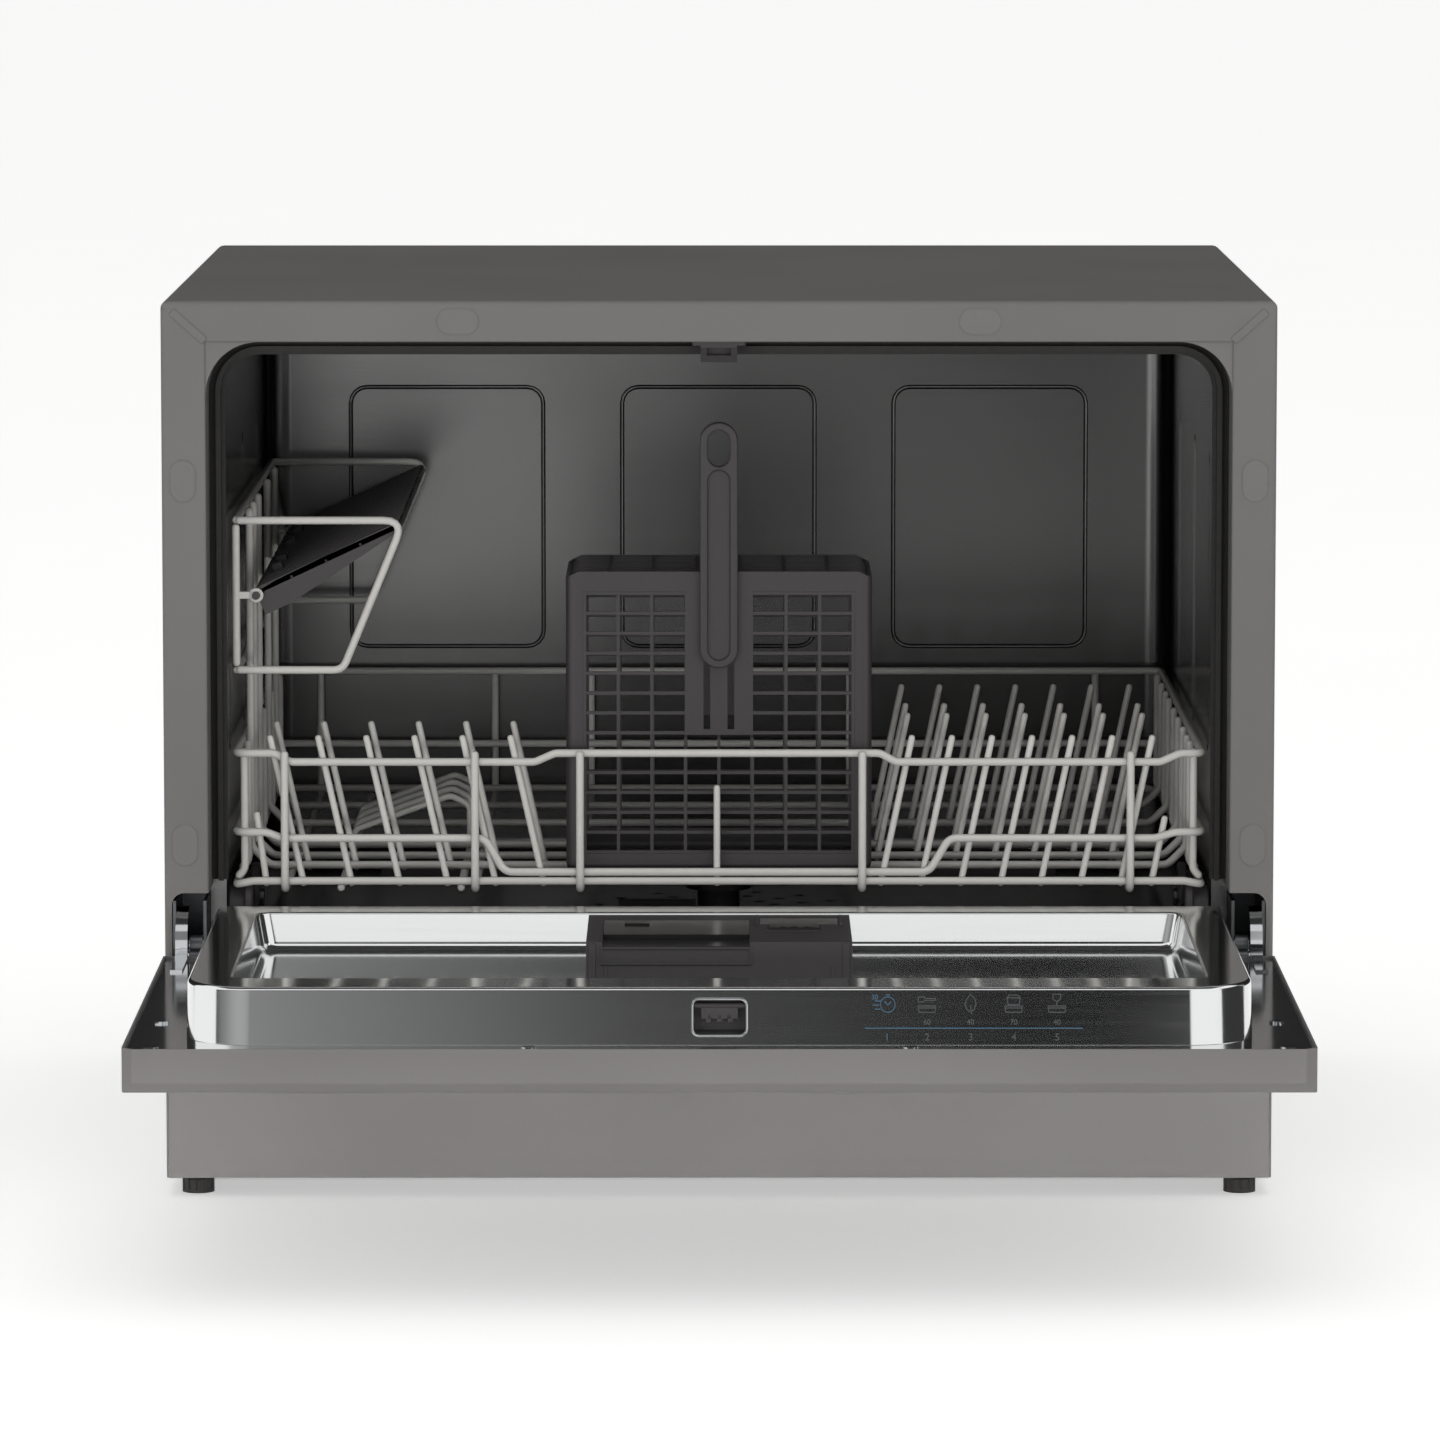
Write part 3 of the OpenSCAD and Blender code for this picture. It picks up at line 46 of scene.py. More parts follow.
# Camera
# A long lens stands four metres in front of the machine, above its top, and looks slightly down.
# It is nearly square on the front, so the cabinet's sides don't show.
flange_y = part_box("kick_plate")[0].y
camera = bpy.data.objects.new("camera", bpy.data.cameras.new("camera"))
camera.data.sensor_width = 36
camera.data.lens = 211
camera.data.clip_end = 50
camera.location = (-0.0034, flange_y - 4.149, 0.7092)
camera.rotation_euler = (math.radians(90 - 6.474), 0, math.radians(-0.054))
scene.collection.objects.link(camera)
scene.camera = camera
scene.view_settings.view_transform = "Standard"

# Casing
# Folded sheet steel, 1 mm: top, sides, front flange and the recess walls round the mouth.
# Powder coated in warm grey: a soft sheen over a fine orange peel.


def linear(code):
    """An sRGB hex colour as linear RGBA"""
    parts = [int(code[i:i + 2], 16) / 255 for i in (1, 3, 5)]
    return [c / 12.92 if c < 0.04045 else ((c + 0.055) / 1.055) ** 2.4 for c in parts] + [1]


def node(owner, kind, inputs, **settings):
    """Adds a shader node with its settings, and sets or links its inputs"""
    tree = owner.node_tree
    made = tree.nodes.get(kind) if kind in ("Principled BSDF", "Background") else None
    made = made or tree.nodes.new("ShaderNode" + kind)
    for key, value in settings.items():
        setattr(made, key, value)
    for key, value in inputs.items():
        if isinstance(value, bpy.types.NodeSocket):
            tree.links.new(value, made.inputs[key])
        else:
            made.inputs[key].default_value = value
    return made


def material(name):
    """An empty node material: its surface shader and where its patterns are measured"""
    made = bpy.data.materials.new(name)
    made.use_nodes = True
    where = node(made, "TexCoord", {}).outputs["Object"]
    return made, where


paint, where = material("powder_coated_steel")
peel = node(paint, "TexNoise", {"Vector": where, "Scale": 1 / 0.0022, "Detail": 3.0})
cloud = node(paint, "TexNoise", {"Vector": where, "Scale": 1 / 0.12, "Detail": 2.0})
tone = node(paint, "ValToRGB", {"Fac": cloud.outputs["Fac"]})
tone.color_ramp.elements[0].position = 0.3
tone.color_ramp.elements[0].color = linear("#716f6e")
tone.color_ramp.elements[1].position = 0.7
tone.color_ramp.elements[1].color = linear("#767473")
bump = node(paint, "Bump", {"Height": peel.outputs["Fac"], "Strength": 0.12, "Distance": 0.0002})
node(paint, "Principled BSDF", {
    "Base Color": tone.outputs["Color"], "Roughness": 0.5, "Specular IOR Level": 0.25,
    "Normal": bump.outputs["Normal"]
})


def select(bm, rule):
    """The edges whose two ends both pass the rule"""
    return [e for e in bm.edges if all(rule(v.co) for v in e.verts)]


def round_off(bm, edges, size, steps=3):
    bmesh.ops.bevel(
        bm, geom=list(edges), offset=size, segments=steps, profile=0.5, affect="EDGES",
        material=-1, clamp_overlap=True
    )


def block(lo, hi, size=0, steps=2, into=None):
    """A block from its low to its high corner, with rounded edges"""
    bm = bmesh.new()
    bmesh.ops.create_cube(bm, size=1)
    middle = [(a + b) / 2 for a, b in zip(lo, hi)]
    span = [b - a for a, b in zip(lo, hi)]
    bmesh.ops.transform(bm, matrix=Matrix.Translation(middle) @ Matrix.Diagonal((*span, 1)), verts=bm.verts)
    if size:
        round_off(bm, bm.edges, size, steps)
    return join(into, bm) if into else bm


def join(bm, *others):
    """Adds the other shapes to bm as shells of their own"""
    for other in others:
        mesh = bpy.data.meshes.new("part")
        other.to_mesh(mesh)
        other.free()
        bm.from_mesh(mesh)
        bpy.data.meshes.remove(mesh)
    return bm


def prism(outline, axis, start, end, corners=0, size=0, steps=3):
    """An outline drawn along an axis, with its corners and then its rims rounded"""
    bm = bmesh.new()
    order = {"x": (2, 0, 1), "y": (0, 2, 1), "z": (0, 1, 2)}[axis]
    verts = []
    for a, b in outline:
        flat = (a, b, start)
        verts.append(bm.verts.new([flat[i] for i in order]))
    face = bm.faces.new(verts)
    moved = bmesh.ops.extrude_face_region(bm, geom=[face])["geom"]
    along = Vector([1 if c == axis else 0 for c in "xyz"])
    top = [g for g in moved if isinstance(g, bmesh.types.BMVert)]
    bmesh.ops.translate(bm, vec=along * (end - start), verts=top)
    if corners:
        long_edges = [
            e for e in bm.edges if abs((e.verts[0].co - e.verts[1].co).normalized().dot(along)) > 0.999
        ]
        round_off(bm, long_edges, corners, steps + 1)
    if size:
        flat_edges = [
            e for e in bm.edges
            if abs((e.verts[0].co - e.verts[1].co).dot(along)) < 1e-4 and e.calc_face_angle(0) > 0.5
        ]
        round_off(bm, flat_edges, size, steps)
    return bm


def cut(bm, *tools, way="DIFFERENCE"):
    """Takes the solid tools away from the solid bm, or adds them"""
    tool = join(bmesh.new(), *tools)
    objects = []
    for shape in (bm, tool):
        bmesh.ops.recalc_face_normals(shape, faces=shape.faces)
        mesh = bpy.data.meshes.new("cut")
        shape.to_mesh(mesh)
        shape.free()
        objects.append(bpy.data.objects.new("cut", mesh))
        scene.collection.objects.link(objects[-1])
    knife = objects[0].modifiers.new("cut", "BOOLEAN")
    knife.operation = way
    knife.solver = "EXACT"
    knife.use_self = True
    knife.object = objects[1]
    result = bmesh.new()
    result.from_object(objects[0], bpy.context.evaluated_depsgraph_get())
    for made in objects:
        mesh = made.data
        bpy.data.objects.remove(made)
        bpy.data.meshes.remove(mesh)
    return result


def piece(name, bm, look, body, replaces=(), sharp=35):
    """Sets a shape drawn in millimetres from the flange into the frame, as one piece"""
    bmesh.ops.remove_doubles(bm, verts=bm.verts, dist=0.002)
    bmesh.ops.recalc_face_normals(bm, faces=bm.faces)
    bm.transform(Matrix.Translation((0, flange_y, 0)) @ Matrix.Scale(0.001, 4))
    mesh = bpy.data.meshes.new(name)
    bm.to_mesh(mesh)
    bm.free()
    mesh.shade_smooth()
    mesh.set_sharp_from_angle(angle=math.radians(sharp))
    mesh.materials.append(look)
    made = bpy.data.objects.new(name, mesh)
    scene.collection.objects.link(made)
    if sharp < 60:
        made.modifiers.new("flat_faces", "WEIGHTED_NORMAL").keep_sharp = True
    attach(made, body)
    if replaces:
        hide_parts(*replaces)
    return made


def mirrored(bm):
    """Adds the left twin of a shape drawn on the right"""
    twin = bm.copy()
    bmesh.ops.scale(twin, vec=(-1, 1, 1), verts=twin.verts)
    bmesh.ops.reverse_faces(twin, faces=twin.faces)
    return join(bm, twin)


mouth_x = 253
mouth_top = 425.5
casing_top = 446
casing = bmesh.new()
rows = []
for x, z, corner in ((-1, 9, 0), (-1, 0, 1), (1, 0, 1), (1, 9, 0)):
    row = []
    for side, top, y in ((22, 20.5, 479), (22, 20.5, 0), (0, 0, 0), (0, 0, 33)):
        row.append(casing.verts.new((x * (mouth_x + side), y, mouth_top + top if corner else z)))
    rows.append(row)
for a, b in zip(rows, rows[1:]):
    for i in range(3):
        casing.faces.new((a[i], a[i + 1], b[i + 1], b[i]))
bmesh.ops.recalc_face_normals(casing, faces=casing.faces)
round_off(casing, select(casing, lambda v: abs(v.x) > 274.9 and v.z > 445.9 and v.y >= 0), 4, 4)
round_off(casing, [e for e in casing.edges if all(v.co.y < 0.01 for v in e.verts)
                   and all(abs(v.co.x) > 270 or v.co.z > 440 for v in e.verts)
                   and e.calc_face_angle(0) > 0.7], 2.6, 4)
round_off(casing, [e for e in casing.edges if all(v.co.y < 0.01 for v in e.verts)
                   and e.calc_face_angle(0) > 0.7], 1.2, 3)
bmesh.ops.recalc_face_normals(casing, faces=casing.faces)
bmesh.ops.solidify(casing, geom=casing.faces[:], thickness=1)
kick_gap = block((-274, -5, 0), (274, 40, 117.9))
hinge_gap = prism(
    [(250, 110), (mouth_x + 18.3, 110), (mouth_x + 18.3, 152), (250, 152)], "y", -5, 40
)
round_off(hinge_gap, select(hinge_gap, lambda v: v.x > 270 and v.z > 150), 6, 5)
casing = cut(casing, kick_gap, mirrored(hinge_gap))
for s in (-1, 1):
    ridge = block((-11, -0.85, -2.1), (11, 0.8, 2.1), 0.7, 2)
    bmesh.ops.rotate(ridge, cent=(0, 0, 0), matrix=Matrix.Rotation(math.radians(-42 * s), 3, "Y"), verts=ridge.verts)
    bmesh.ops.translate(ridge, vec=(s * 261.4, 0, 433.4), verts=ridge.verts)
    join(casing, ridge)
piece("casing_wrap", casing, paint, "cabinet", ["outer_wrap"])


def finish(look, *names):
    """Gives carried-over nodes their material"""
    for name in names:
        cad[name].data.materials.clear()
        cad[name].data.materials.append(look)


finish(paint, "kick_plate", "rear_panel")

# Floor and light
# A plain pale floor and a white studio: the floor keeps the soft shadow of the machine.
# Broad soft boxes in front and above, a strip for the kick plate, and an even sky; camera and gloss see white.
world = bpy.data.worlds.new("studio")
scene.world = world
world.use_nodes = True


def seen_by(owner):
    """One for camera, glossy and transmission rays, zero for the rest"""
    rays = node(owner, "LightPath", {})
    seen = node(owner, "Math", {0: rays.outputs["Is Camera Ray"], 1: rays.outputs["Is Glossy Ray"]}, operation="ADD")
    seen = node(owner, "Math", {0: seen.outputs[0], 1: rays.outputs["Is Transmission Ray"]}, operation="ADD", use_clamp=True)
    return seen.outputs[0]


level = node(world, "MapRange", {"Value": seen_by(world), "To Min": 0.5, "To Max": 1.0})
node(world, "Background", {"Color": (1, 1, 1, 1), "Strength": level.outputs["Result"]})

for spot, aim, wide, deep, power, spread in (
    ((-1.3, -3.4, 0.2), 0.2, 2, 0.32, 28, 180), ((1.3, -3.4, 0.2), 0.2, 2, 0.32, 29, 180),
    ((0, -1.4, 5.5), 0.2, 5, 5, 45, 180), ((0, -2.1, 0.05), 0.02, 2.4, 0.06, 0.75, 8)
):
    lamp = bpy.data.objects.new("soft_box", bpy.data.lights.new("soft_box", "AREA"))
    lamp.data.shape = "RECTANGLE"
    lamp.data.size = wide
    lamp.data.size_y = deep
    lamp.data.energy = power
    lamp.data.spread = math.radians(spread)
    lamp.visible_glossy = False
    lamp.location = spot
    lamp.rotation_euler = (Vector((0, 0, aim)) - lamp.location).to_track_quat("-Z", "Y").to_euler()
    scene.collection.objects.link(lamp)

# Flags stand round the machine where only gloss sees them, so that the steel reads dark between light bands.
for name, spot, tilt, turn, span, ramp in (
    ("front_flag", (0, -1.456, 1.094), 45, 0, (6, 0.8), (
        (0.0, 0.08), (0.03, 0.08), (0.144, 0.21), (0.22, 0.26), (0.3, 0.36), (0.36, 0.41), (0.414, 0.39), (0.44, 0.32),
        (0.455, 0.22), (0.47, 0.16), (0.49, 0.07), (0.53, 0.02), (0.556, 0.0), (0.566, 1.0), (1.0, 1.0)
    )),
    ("top_flag", (0, 0.0, 1.95), 0, 0, (2.6, 1.5), ((0.0, 0.05), (1.0, 0.05))),
    ("rear_flag", (0, 1.6, 1.4), 90, 0, (6, 2.4), ((0.0, 0.02), (1.0, 0.02))),
    ("right_flag", (2.6, -0.05, 0.95), 90, 90, (2.4, 1.8), ((0.0, 0.04), (1.0, 0.04))),
    ("low_flag", (1.05, -1.9, 0.24), 90, 0, (2.5, 0.44), ((0.0, 1.0), (0.09, 0.35), (0.18, 0.02), (1.0, 0.02)))
):
    flag_look, where = material(name)
    across = node(flag_look, "SeparateXYZ", {"Vector": where})
    place = node(flag_look, "MapRange", {
        "Value": across.outputs["X"], "From Min": spot[0] - span[0] / 2, "From Max": spot[0] + span[0] / 2
    })
    fade = node(flag_look, "ValToRGB", {"Fac": place.outputs["Result"]})
    for at, bright in ramp[1:-1]:
        fade.color_ramp.elements.new(at)
    for stop, (at, bright) in zip(fade.color_ramp.elements, ramp):
        stop.position = at
        stop.color = (bright, bright, bright, 1)
    glow = node(flag_look, "Emission", {"Color": fade.outputs["Color"]})
    out = flag_look.node_tree.nodes["Material Output"]
    flag_look.node_tree.links.new(glow.outputs[0], out.inputs["Surface"])
    flag_mesh = bpy.data.meshes.new(name)
    plane = bmesh.new()
    bmesh.ops.create_grid(plane, x_segments=1, y_segments=1, size=0.5)
    plane.transform(
        Matrix.Translation(spot) @ Matrix.Rotation(math.radians(turn), 4, "Z")
        @ Matrix.Rotation(math.radians(tilt), 4, "X") @ Matrix.Diagonal((*span, 1, 1))
    )
    plane.to_mesh(flag_mesh)
    plane.free()
    flag_mesh.materials.append(flag_look)
    flag = bpy.data.objects.new(name, flag_mesh)
    flag.visible_camera = flag.visible_diffuse = flag.visible_shadow = False
    scene.collection.objects.link(flag)

floor_look, where = material("pale_floor")
grain = node(floor_look, "TexNoise", {"Vector": where, "Scale": 1 / 0.3})
tint = node(floor_look, "MixRGB", {"Fac": grain.outputs["Fac"], "Color1": linear("#f6f6f5"), "Color2": linear("#fafaf9")})
lift = node(floor_look, "MapRange", {"Value": seen_by(floor_look), "To Min": 0.0, "To Max": 0.45})
node(floor_look, "Principled BSDF", {
    "Base Color": tint.outputs["Color"], "Roughness": 0.9, "Specular IOR Level": 0.1,
    "Emission Color": (1, 1, 1, 1), "Emission Strength": lift.outputs["Result"]
})
floor_mesh = bpy.data.meshes.new("floor")
plane = bmesh.new()
bmesh.ops.create_grid(plane, x_segments=1, y_segments=1, size=60)
plane.to_mesh(floor_mesh)
plane.free()
floor_mesh.materials.append(floor_look)
floor = bpy.data.objects.new("floor", floor_mesh)
scene.collection.objects.link(floor)

# Flange plugs and corner fillers
# Oval polypropylene plugs close the screw holes in the flange; moulded fillers round the mouth's corners.
# A light grey, even, satin plastic.
grey_plastic, where = material("grey_polypropylene")
speck = node(grey_plastic, "TexNoise", {"Vector": where, "Scale": 1 / 0.0015, "Detail": 2.0})
shade = node(grey_plastic, "MixRGB", {"Fac": speck.outputs["Fac"], "Color1": linear("#72706f"), "Color2": linear("#777574")})
bump = node(grey_plastic, "Bump", {"Height": speck.outputs["Fac"], "Strength": 0.08, "Distance": 0.0001})
node(grey_plastic, "Principled BSDF", {
    "Base Color": shade.outputs["Color"], "Roughness": 0.48, "Specular IOR Level": 0.3, "Normal": bump.outputs["Normal"]
})
plugs = bmesh.new()
for x, z, wide, high in ((128.6, 435.75, 10.5, 6.5), (264.5, 176, 6.5, 10.5), (264.5, 357, 6.5, 10.5)):
    for s in (-1, 1):
        for grow, y0, y1, edge in ((-0.3, -0.6, 1, 0.5), (0.3, -0.15, 1, 0.1)):
            a, b = wide + grow, high + grow
            cap = prism([(s * x - a, z - b), (s * x + a, z - b), (s * x + a, z + b), (s * x - a, z + b)], "y", y0, y1,
                        corners=min(a, b) - 0.01, steps=6)
            round_off(cap, select(cap, lambda v: v.y < y0 + 0.01), edge, 2)
            join(plugs, cap)
piece("plug_caps", plugs, grey_plastic, "cabinet", ["flange_plugs"])
finish(grey_plastic, "corner_fillers")

# Base, feet and rear fittings
# A polypropylene tray closes the underside; rubber feet screw into its bosses.
# The inlet's threaded nozzle, the drain spigot and the cable gland leave through the rear panel.
tray_plastic, where = material("black_polypropylene")
speck = node(tray_plastic, "TexNoise", {"Vector": where, "Scale": 1 / 0.003, "Detail": 3.0})
shade = node(tray_plastic, "MixRGB", {"Fac": speck.outputs["Fac"], "Color1": linear("#333232"), "Color2": linear("#413f3f")})
bump = node(tray_plastic, "Bump", {"Height": speck.outputs["Fac"], "Strength": 0.15, "Distance": 0.0002})
node(tray_plastic, "Principled BSDF", {
    "Base Color": shade.outputs["Color"], "Roughness": 0.55, "Normal": bump.outputs["Normal"]
})
finish(tray_plastic, "base_tray", "sump", "spray_seat", "wash_pump", "drain_pump", "drain_outlet", "power_terminal")

rubber, where = material("black_rubber")
dust = node(rubber, "TexNoise", {"Vector": where, "Scale": 1 / 0.004, "Detail": 4.0})
shade = node(rubber, "MixRGB", {"Fac": dust.outputs["Fac"], "Color1": linear("#222120"), "Color2": linear("#302e2d")})
bump = node(rubber, "Bump", {"Height": dust.outputs["Fac"], "Strength": 0.1, "Distance": 0.0002})
node(rubber, "Principled BSDF", {
    "Base Color": shade.outputs["Color"], "Roughness": 0.62, "Normal": bump.outputs["Normal"]
})
finish(rubber, "front_foot_left", "front_foot_right", "rear_feet", "inner_hoses")

white_plastic, where = material("white_acetal")
speck = node(white_plastic, "TexNoise", {"Vector": where, "Scale": 1 / 0.01})
shade = node(white_plastic, "MixRGB", {"Fac": speck.outputs["Fac"], "Color1": linear("#d2d1cc"), "Color2": linear("#dedcd7")})
node(white_plastic, "Principled BSDF", {"Base Color": shade.outputs["Color"], "Roughness": 0.4})
finish(white_plastic, "inlet_valve", "air_break_tank")

felt, where = material("bitumen_felt")
fibre = node(felt, "TexNoise", {"Vector": where, "Scale": 1 / 0.0015, "Detail": 5.0})
shade = node(felt, "MixRGB", {"Fac": fibre.outputs["Fac"], "Color1": linear("#262422"), "Color2": linear("#3d3a37")})
bump = node(felt, "Bump", {"Height": fibre.outputs["Fac"], "Strength": 0.5, "Distance": 0.0004})
node(felt, "Principled BSDF", {
    "Base Color": shade.outputs["Color"], "Roughness": 0.95, "Normal": bump.outputs["Normal"]
})
finish(felt, "tub_insulation", "door_insulation")

# Tub
# Deep-drawn stainless steel, 1.2 mm, with coved corners and pressed panels in the back and sides.
# A brushed sheet: the grain runs across and draws the gloss out. Its base colour is painted much darker than the
# liner's steel, as painted shade that keeps the walls dark inside.
stainless_with_painted_shade, where = material("brushed_steel_with_painted_shade")
lined = node(stainless_with_painted_shade, "Mapping", {"Vector": where, "Scale": (1, 1, 60)})
grain = node(stainless_with_painted_shade, "TexNoise", {"Vector": lined.outputs["Vector"], "Scale": 1 / 0.04, "Detail": 4.0})
cloud = node(stainless_with_painted_shade, "TexNoise", {"Vector": where, "Scale": 1 / 0.15, "Detail": 2.0})
# Painted shade: the steel's base tones are set dark so that the inside of the tub reads shaded.
shade = node(stainless_with_painted_shade, "MixRGB", {"Fac": cloud.outputs["Fac"], "Color1": linear("#686867"), "Color2": linear("#7a7979")})
rough = node(stainless_with_painted_shade, "MapRange", {"Value": grain.outputs["Fac"], "To Min": 0.2, "To Max": 0.25})
bump = node(stainless_with_painted_shade, "Bump", {"Height": grain.outputs["Fac"], "Strength": 0.02, "Distance": 0.0001})
node(stainless_with_painted_shade, "Principled BSDF", {
    "Base Color": shade.outputs["Color"], "Metallic": 1.0, "Roughness": rough.outputs["Result"],
    "Normal": bump.outputs["Normal"]
})
tub_x = 246
tub_low, tub_high, tub_back = 112, 420, 430


def hollow(lo, hi, wall, radius, opening, steps=5):
    """A box with round corners and a wall, opened by the solid opening"""
    outer = block(lo, hi, radius + wall, steps)
    inner = block([a + wall for a in lo], [b - wall for b in hi], radius, steps)
    return cut(outer, inner, opening)


def ring_tool(lo, hi, corner, width, axis, start, end):
    """A frame-shaped tool that presses a groove round a panel"""
    (a0, b0), (a1, b1) = lo, hi
    w = width
    outer = prism([(a0, b0), (a1, b0), (a1, b1), (a0, b1)], axis, start, end, corners=corner)
    inner = prism([(a0 + w, b0 + w), (a1 - w, b0 + w), (a1 - w, b1 - w), (a0 + w, b1 - w)], axis, start - 1, end + 1,
                  corners=corner - w)
    ring = cut(outer, inner)
    index = "xyz".index(axis)
    round_off(ring, select(ring, lambda v: abs(v[index] - end) < 0.01), width / 2 - 0.15, 3)
    return ring


tub = hollow((-tub_x - 1.2, -40, tub_low - 1.2), (tub_x + 1.2, tub_back + 1.2, tub_high + 1.2), 1.2, 14,
             block((-300, -60, 0), (300, 33, 500)))
lip = cut(block((-mouth_x - 1, 33, 110), (mouth_x + 1, 34.2, mouth_top + 1)),
          prism([(-tub_x, tub_low), (tub_x, tub_low), (tub_x, tub_high), (-tub_x, tub_high)], "y", 20, 50, corners=14))
tub = cut(tub, lip, way="UNION")
tools = []
for x in (-147.5, 0, 147.5):
    tools.append(ring_tool((x - 53.5, 229), (x + 53.5, 373), 10, 2.4, "y", tub_back - 5, tub_back + 1.15))
for y in (71, 199, 334):
    slot = ring_tool((y - 7, 215), (y + 7, 365), 6.9, 2.4, "x", tub_x - 5, tub_x + 1.15)
    tools.append(mirrored(slot))
drain = bmesh.new()
bmesh.ops.create_cone(drain, cap_ends=True, segments=64, radius1=72, radius2=72, depth=20,
                      matrix=Matrix.Translation((0, 232, 112)))
tools.append(drain)
tub = cut(tub, *tools)
piece("tub_shell", tub, stainless_with_painted_shade, "cabinet", ["tub"])
finish(stainless_with_painted_shade, "mouth_sill", "filter_plate")
finish(rubber, "door_gasket", "bottom_seal")

# Strike, hinges and springs
# The strike is moulded acetal; brackets and roller pins are zinc-plated steel; the hinge arms are chromed.
# Chrome mirrors the room; zinc is greyer and duller.
dark_plastic, where = material("dark_grey_polypropylene")
speck = node(dark_plastic, "TexNoise", {"Vector": where, "Scale": 1 / 0.0012, "Detail": 2.0})
shade = node(dark_plastic, "MixRGB", {"Fac": speck.outputs["Fac"], "Color1": linear("#383536"), "Color2": linear("#413e3f")})
bump = node(dark_plastic, "Bump", {"Height": speck.outputs["Fac"], "Strength": 0.08, "Distance": 0.0001})
node(dark_plastic, "Principled BSDF", {
    "Base Color": shade.outputs["Color"], "Roughness": 0.45, "Normal": bump.outputs["Normal"]
})
zinc, where = material("zinc_plated_steel")
flow = node(zinc, "TexNoise", {"Vector": where, "Scale": 1 / 0.006, "Detail": 3.0})
shade = node(zinc, "MixRGB", {"Fac": flow.outputs["Fac"], "Color1": linear("#5f6163"), "Color2": linear("#737577")})
node(zinc, "Principled BSDF", {"Base Color": shade.outputs["Color"], "Metallic": 1.0, "Roughness": 0.35})
chrome, where = material("chromed_steel")
haze = node(chrome, "TexNoise", {"Vector": where, "Scale": 1 / 0.02, "Detail": 2.0})
rough = node(chrome, "MapRange", {"Value": haze.outputs["Fac"], "To Min": 0.06, "To Max": 0.14})
node(chrome, "Principled BSDF", {
    "Base Color": linear("#c2c4c6"), "Metallic": 1.0, "Roughness": rough.outputs["Result"]
})
finish(dark_plastic, "door_strike")
finish(zinc, "hinge_brackets", "door_springs", "roller_pins")
finish(chrome, "hinge_pins", "hinge_arms", "door_screws")

# Rollers
# Four acetal rollers on steel pins: a tread that carries the rack's runner and a flange that guides it.
# Turned outline with rounded rims and six shallow pockets between the hub and the tread.


def turned(outline, axis_point, steps=40):
    """A closed outline of (x, radius) spun about an axis along x"""
    bm = bmesh.new()
    verts = [bm.verts.new((x, axis_point[0], axis_point[1] + r)) for x, r in outline]
    edges = [bm.edges.new((a, b)) for a, b in zip(verts, verts[1:] + verts[:1])]
    bmesh.ops.spin(bm, geom=verts + edges, cent=(0, *axis_point), axis=(1, 0, 0), angle=math.tau, steps=steps,
                   use_merge=True)
    return bm


roller_outline = [
    (233, 3.05), (233, 6), (234, 6.6), (234, 15.2), (233, 15.8), (233, 17.2), (233.8, 18), (236.4, 18), (237.2, 17.2),
    (237.2, 14.4), (237.6, 14), (244.4, 14), (245.2, 13.2), (245.2, 11.5), (243.8, 11), (243.8, 7), (245.2, 6.5),
    (245.2, 3.05)
]
for name, body, y, s in (
    ("roller_front_left", "roller_fl", 45, -1), ("roller_front_right", "roller_fr", 45, 1),
    ("roller_rear_left", "roller_rl", 103, -1), ("roller_rear_right", "roller_rr", 103, 1)
):
    wheel = turned(roller_outline, (y, 136))
    pockets = bmesh.new()
    for k in range(6):
        angle = math.tau * k / 6
        bmesh.ops.create_cone(
            pockets, cap_ends=True, segments=16, radius1=2.6, radius2=2.6, depth=4,
            matrix=Matrix.Translation((233, y + 10.8 * math.cos(angle), 136 + 10.8 * math.sin(angle)))
            @ Matrix.Rotation(math.radians(90), 4, "Y")
        )
    wheel = cut(wheel, pockets)
    if s < 0:
        bmesh.ops.scale(wheel, vec=(-1, 1, 1), verts=wheel.verts)
    piece(name + "_wheel", wheel, dark_plastic, body, [name])

# Spray arm, filter and float
# Moulded polypropylene parts on the tub's floor, over a perforated steel filter plate.
finish(dark_plastic, "filter_cup", "float", "spray_arm")

# Door panel
# A folded steel tray, 1 mm, powder coated like the casing, with a bevel round its outer face.
# Its outer face carries the control strip and a moulded grip.


def door_block(inset, top):
    """The door's tray or its hollow, bevelled along its far and near edge and down its far corners"""
    x, far, near, low = 275 - inset, -316.3 + inset, -11 - inset, 101.1 + inset
    made = block((-x, far, low), (x, near, top))
    ends = [e for e in made.edges if all(v.co.y < far + 1 for v in e.verts) and min(v.co.z for v in e.verts) < low + 1]
    near_low = select(made, lambda v: v.y > near - 1 and v.z < low + 1)
    round_off(made, [e for e in set(ends + near_low)], 5, 1)
    return made


door = door_block(0, 122.1)
creases = [e for e in select(door, lambda v: v.z < 121.5 or v.y < -311) if e.calc_face_angle(0) > 0.5
           and max(v.co.z for v in e.verts) < 122 or abs(e.verts[0].co.z - e.verts[1].co.z) > 10]
round_off(door, creases, 0.8, 3)
pocket = door_block(1, 140)
strip_gap = block((-180, -304.3, 100), (180, -264.3, 108))
grip_gap = block((-55, -258.3, 100), (55, -232.3, 108))
door = cut(door, pocket, strip_gap, grip_gap)
piece("door_skin", door, paint, "door", ["door_panel"])
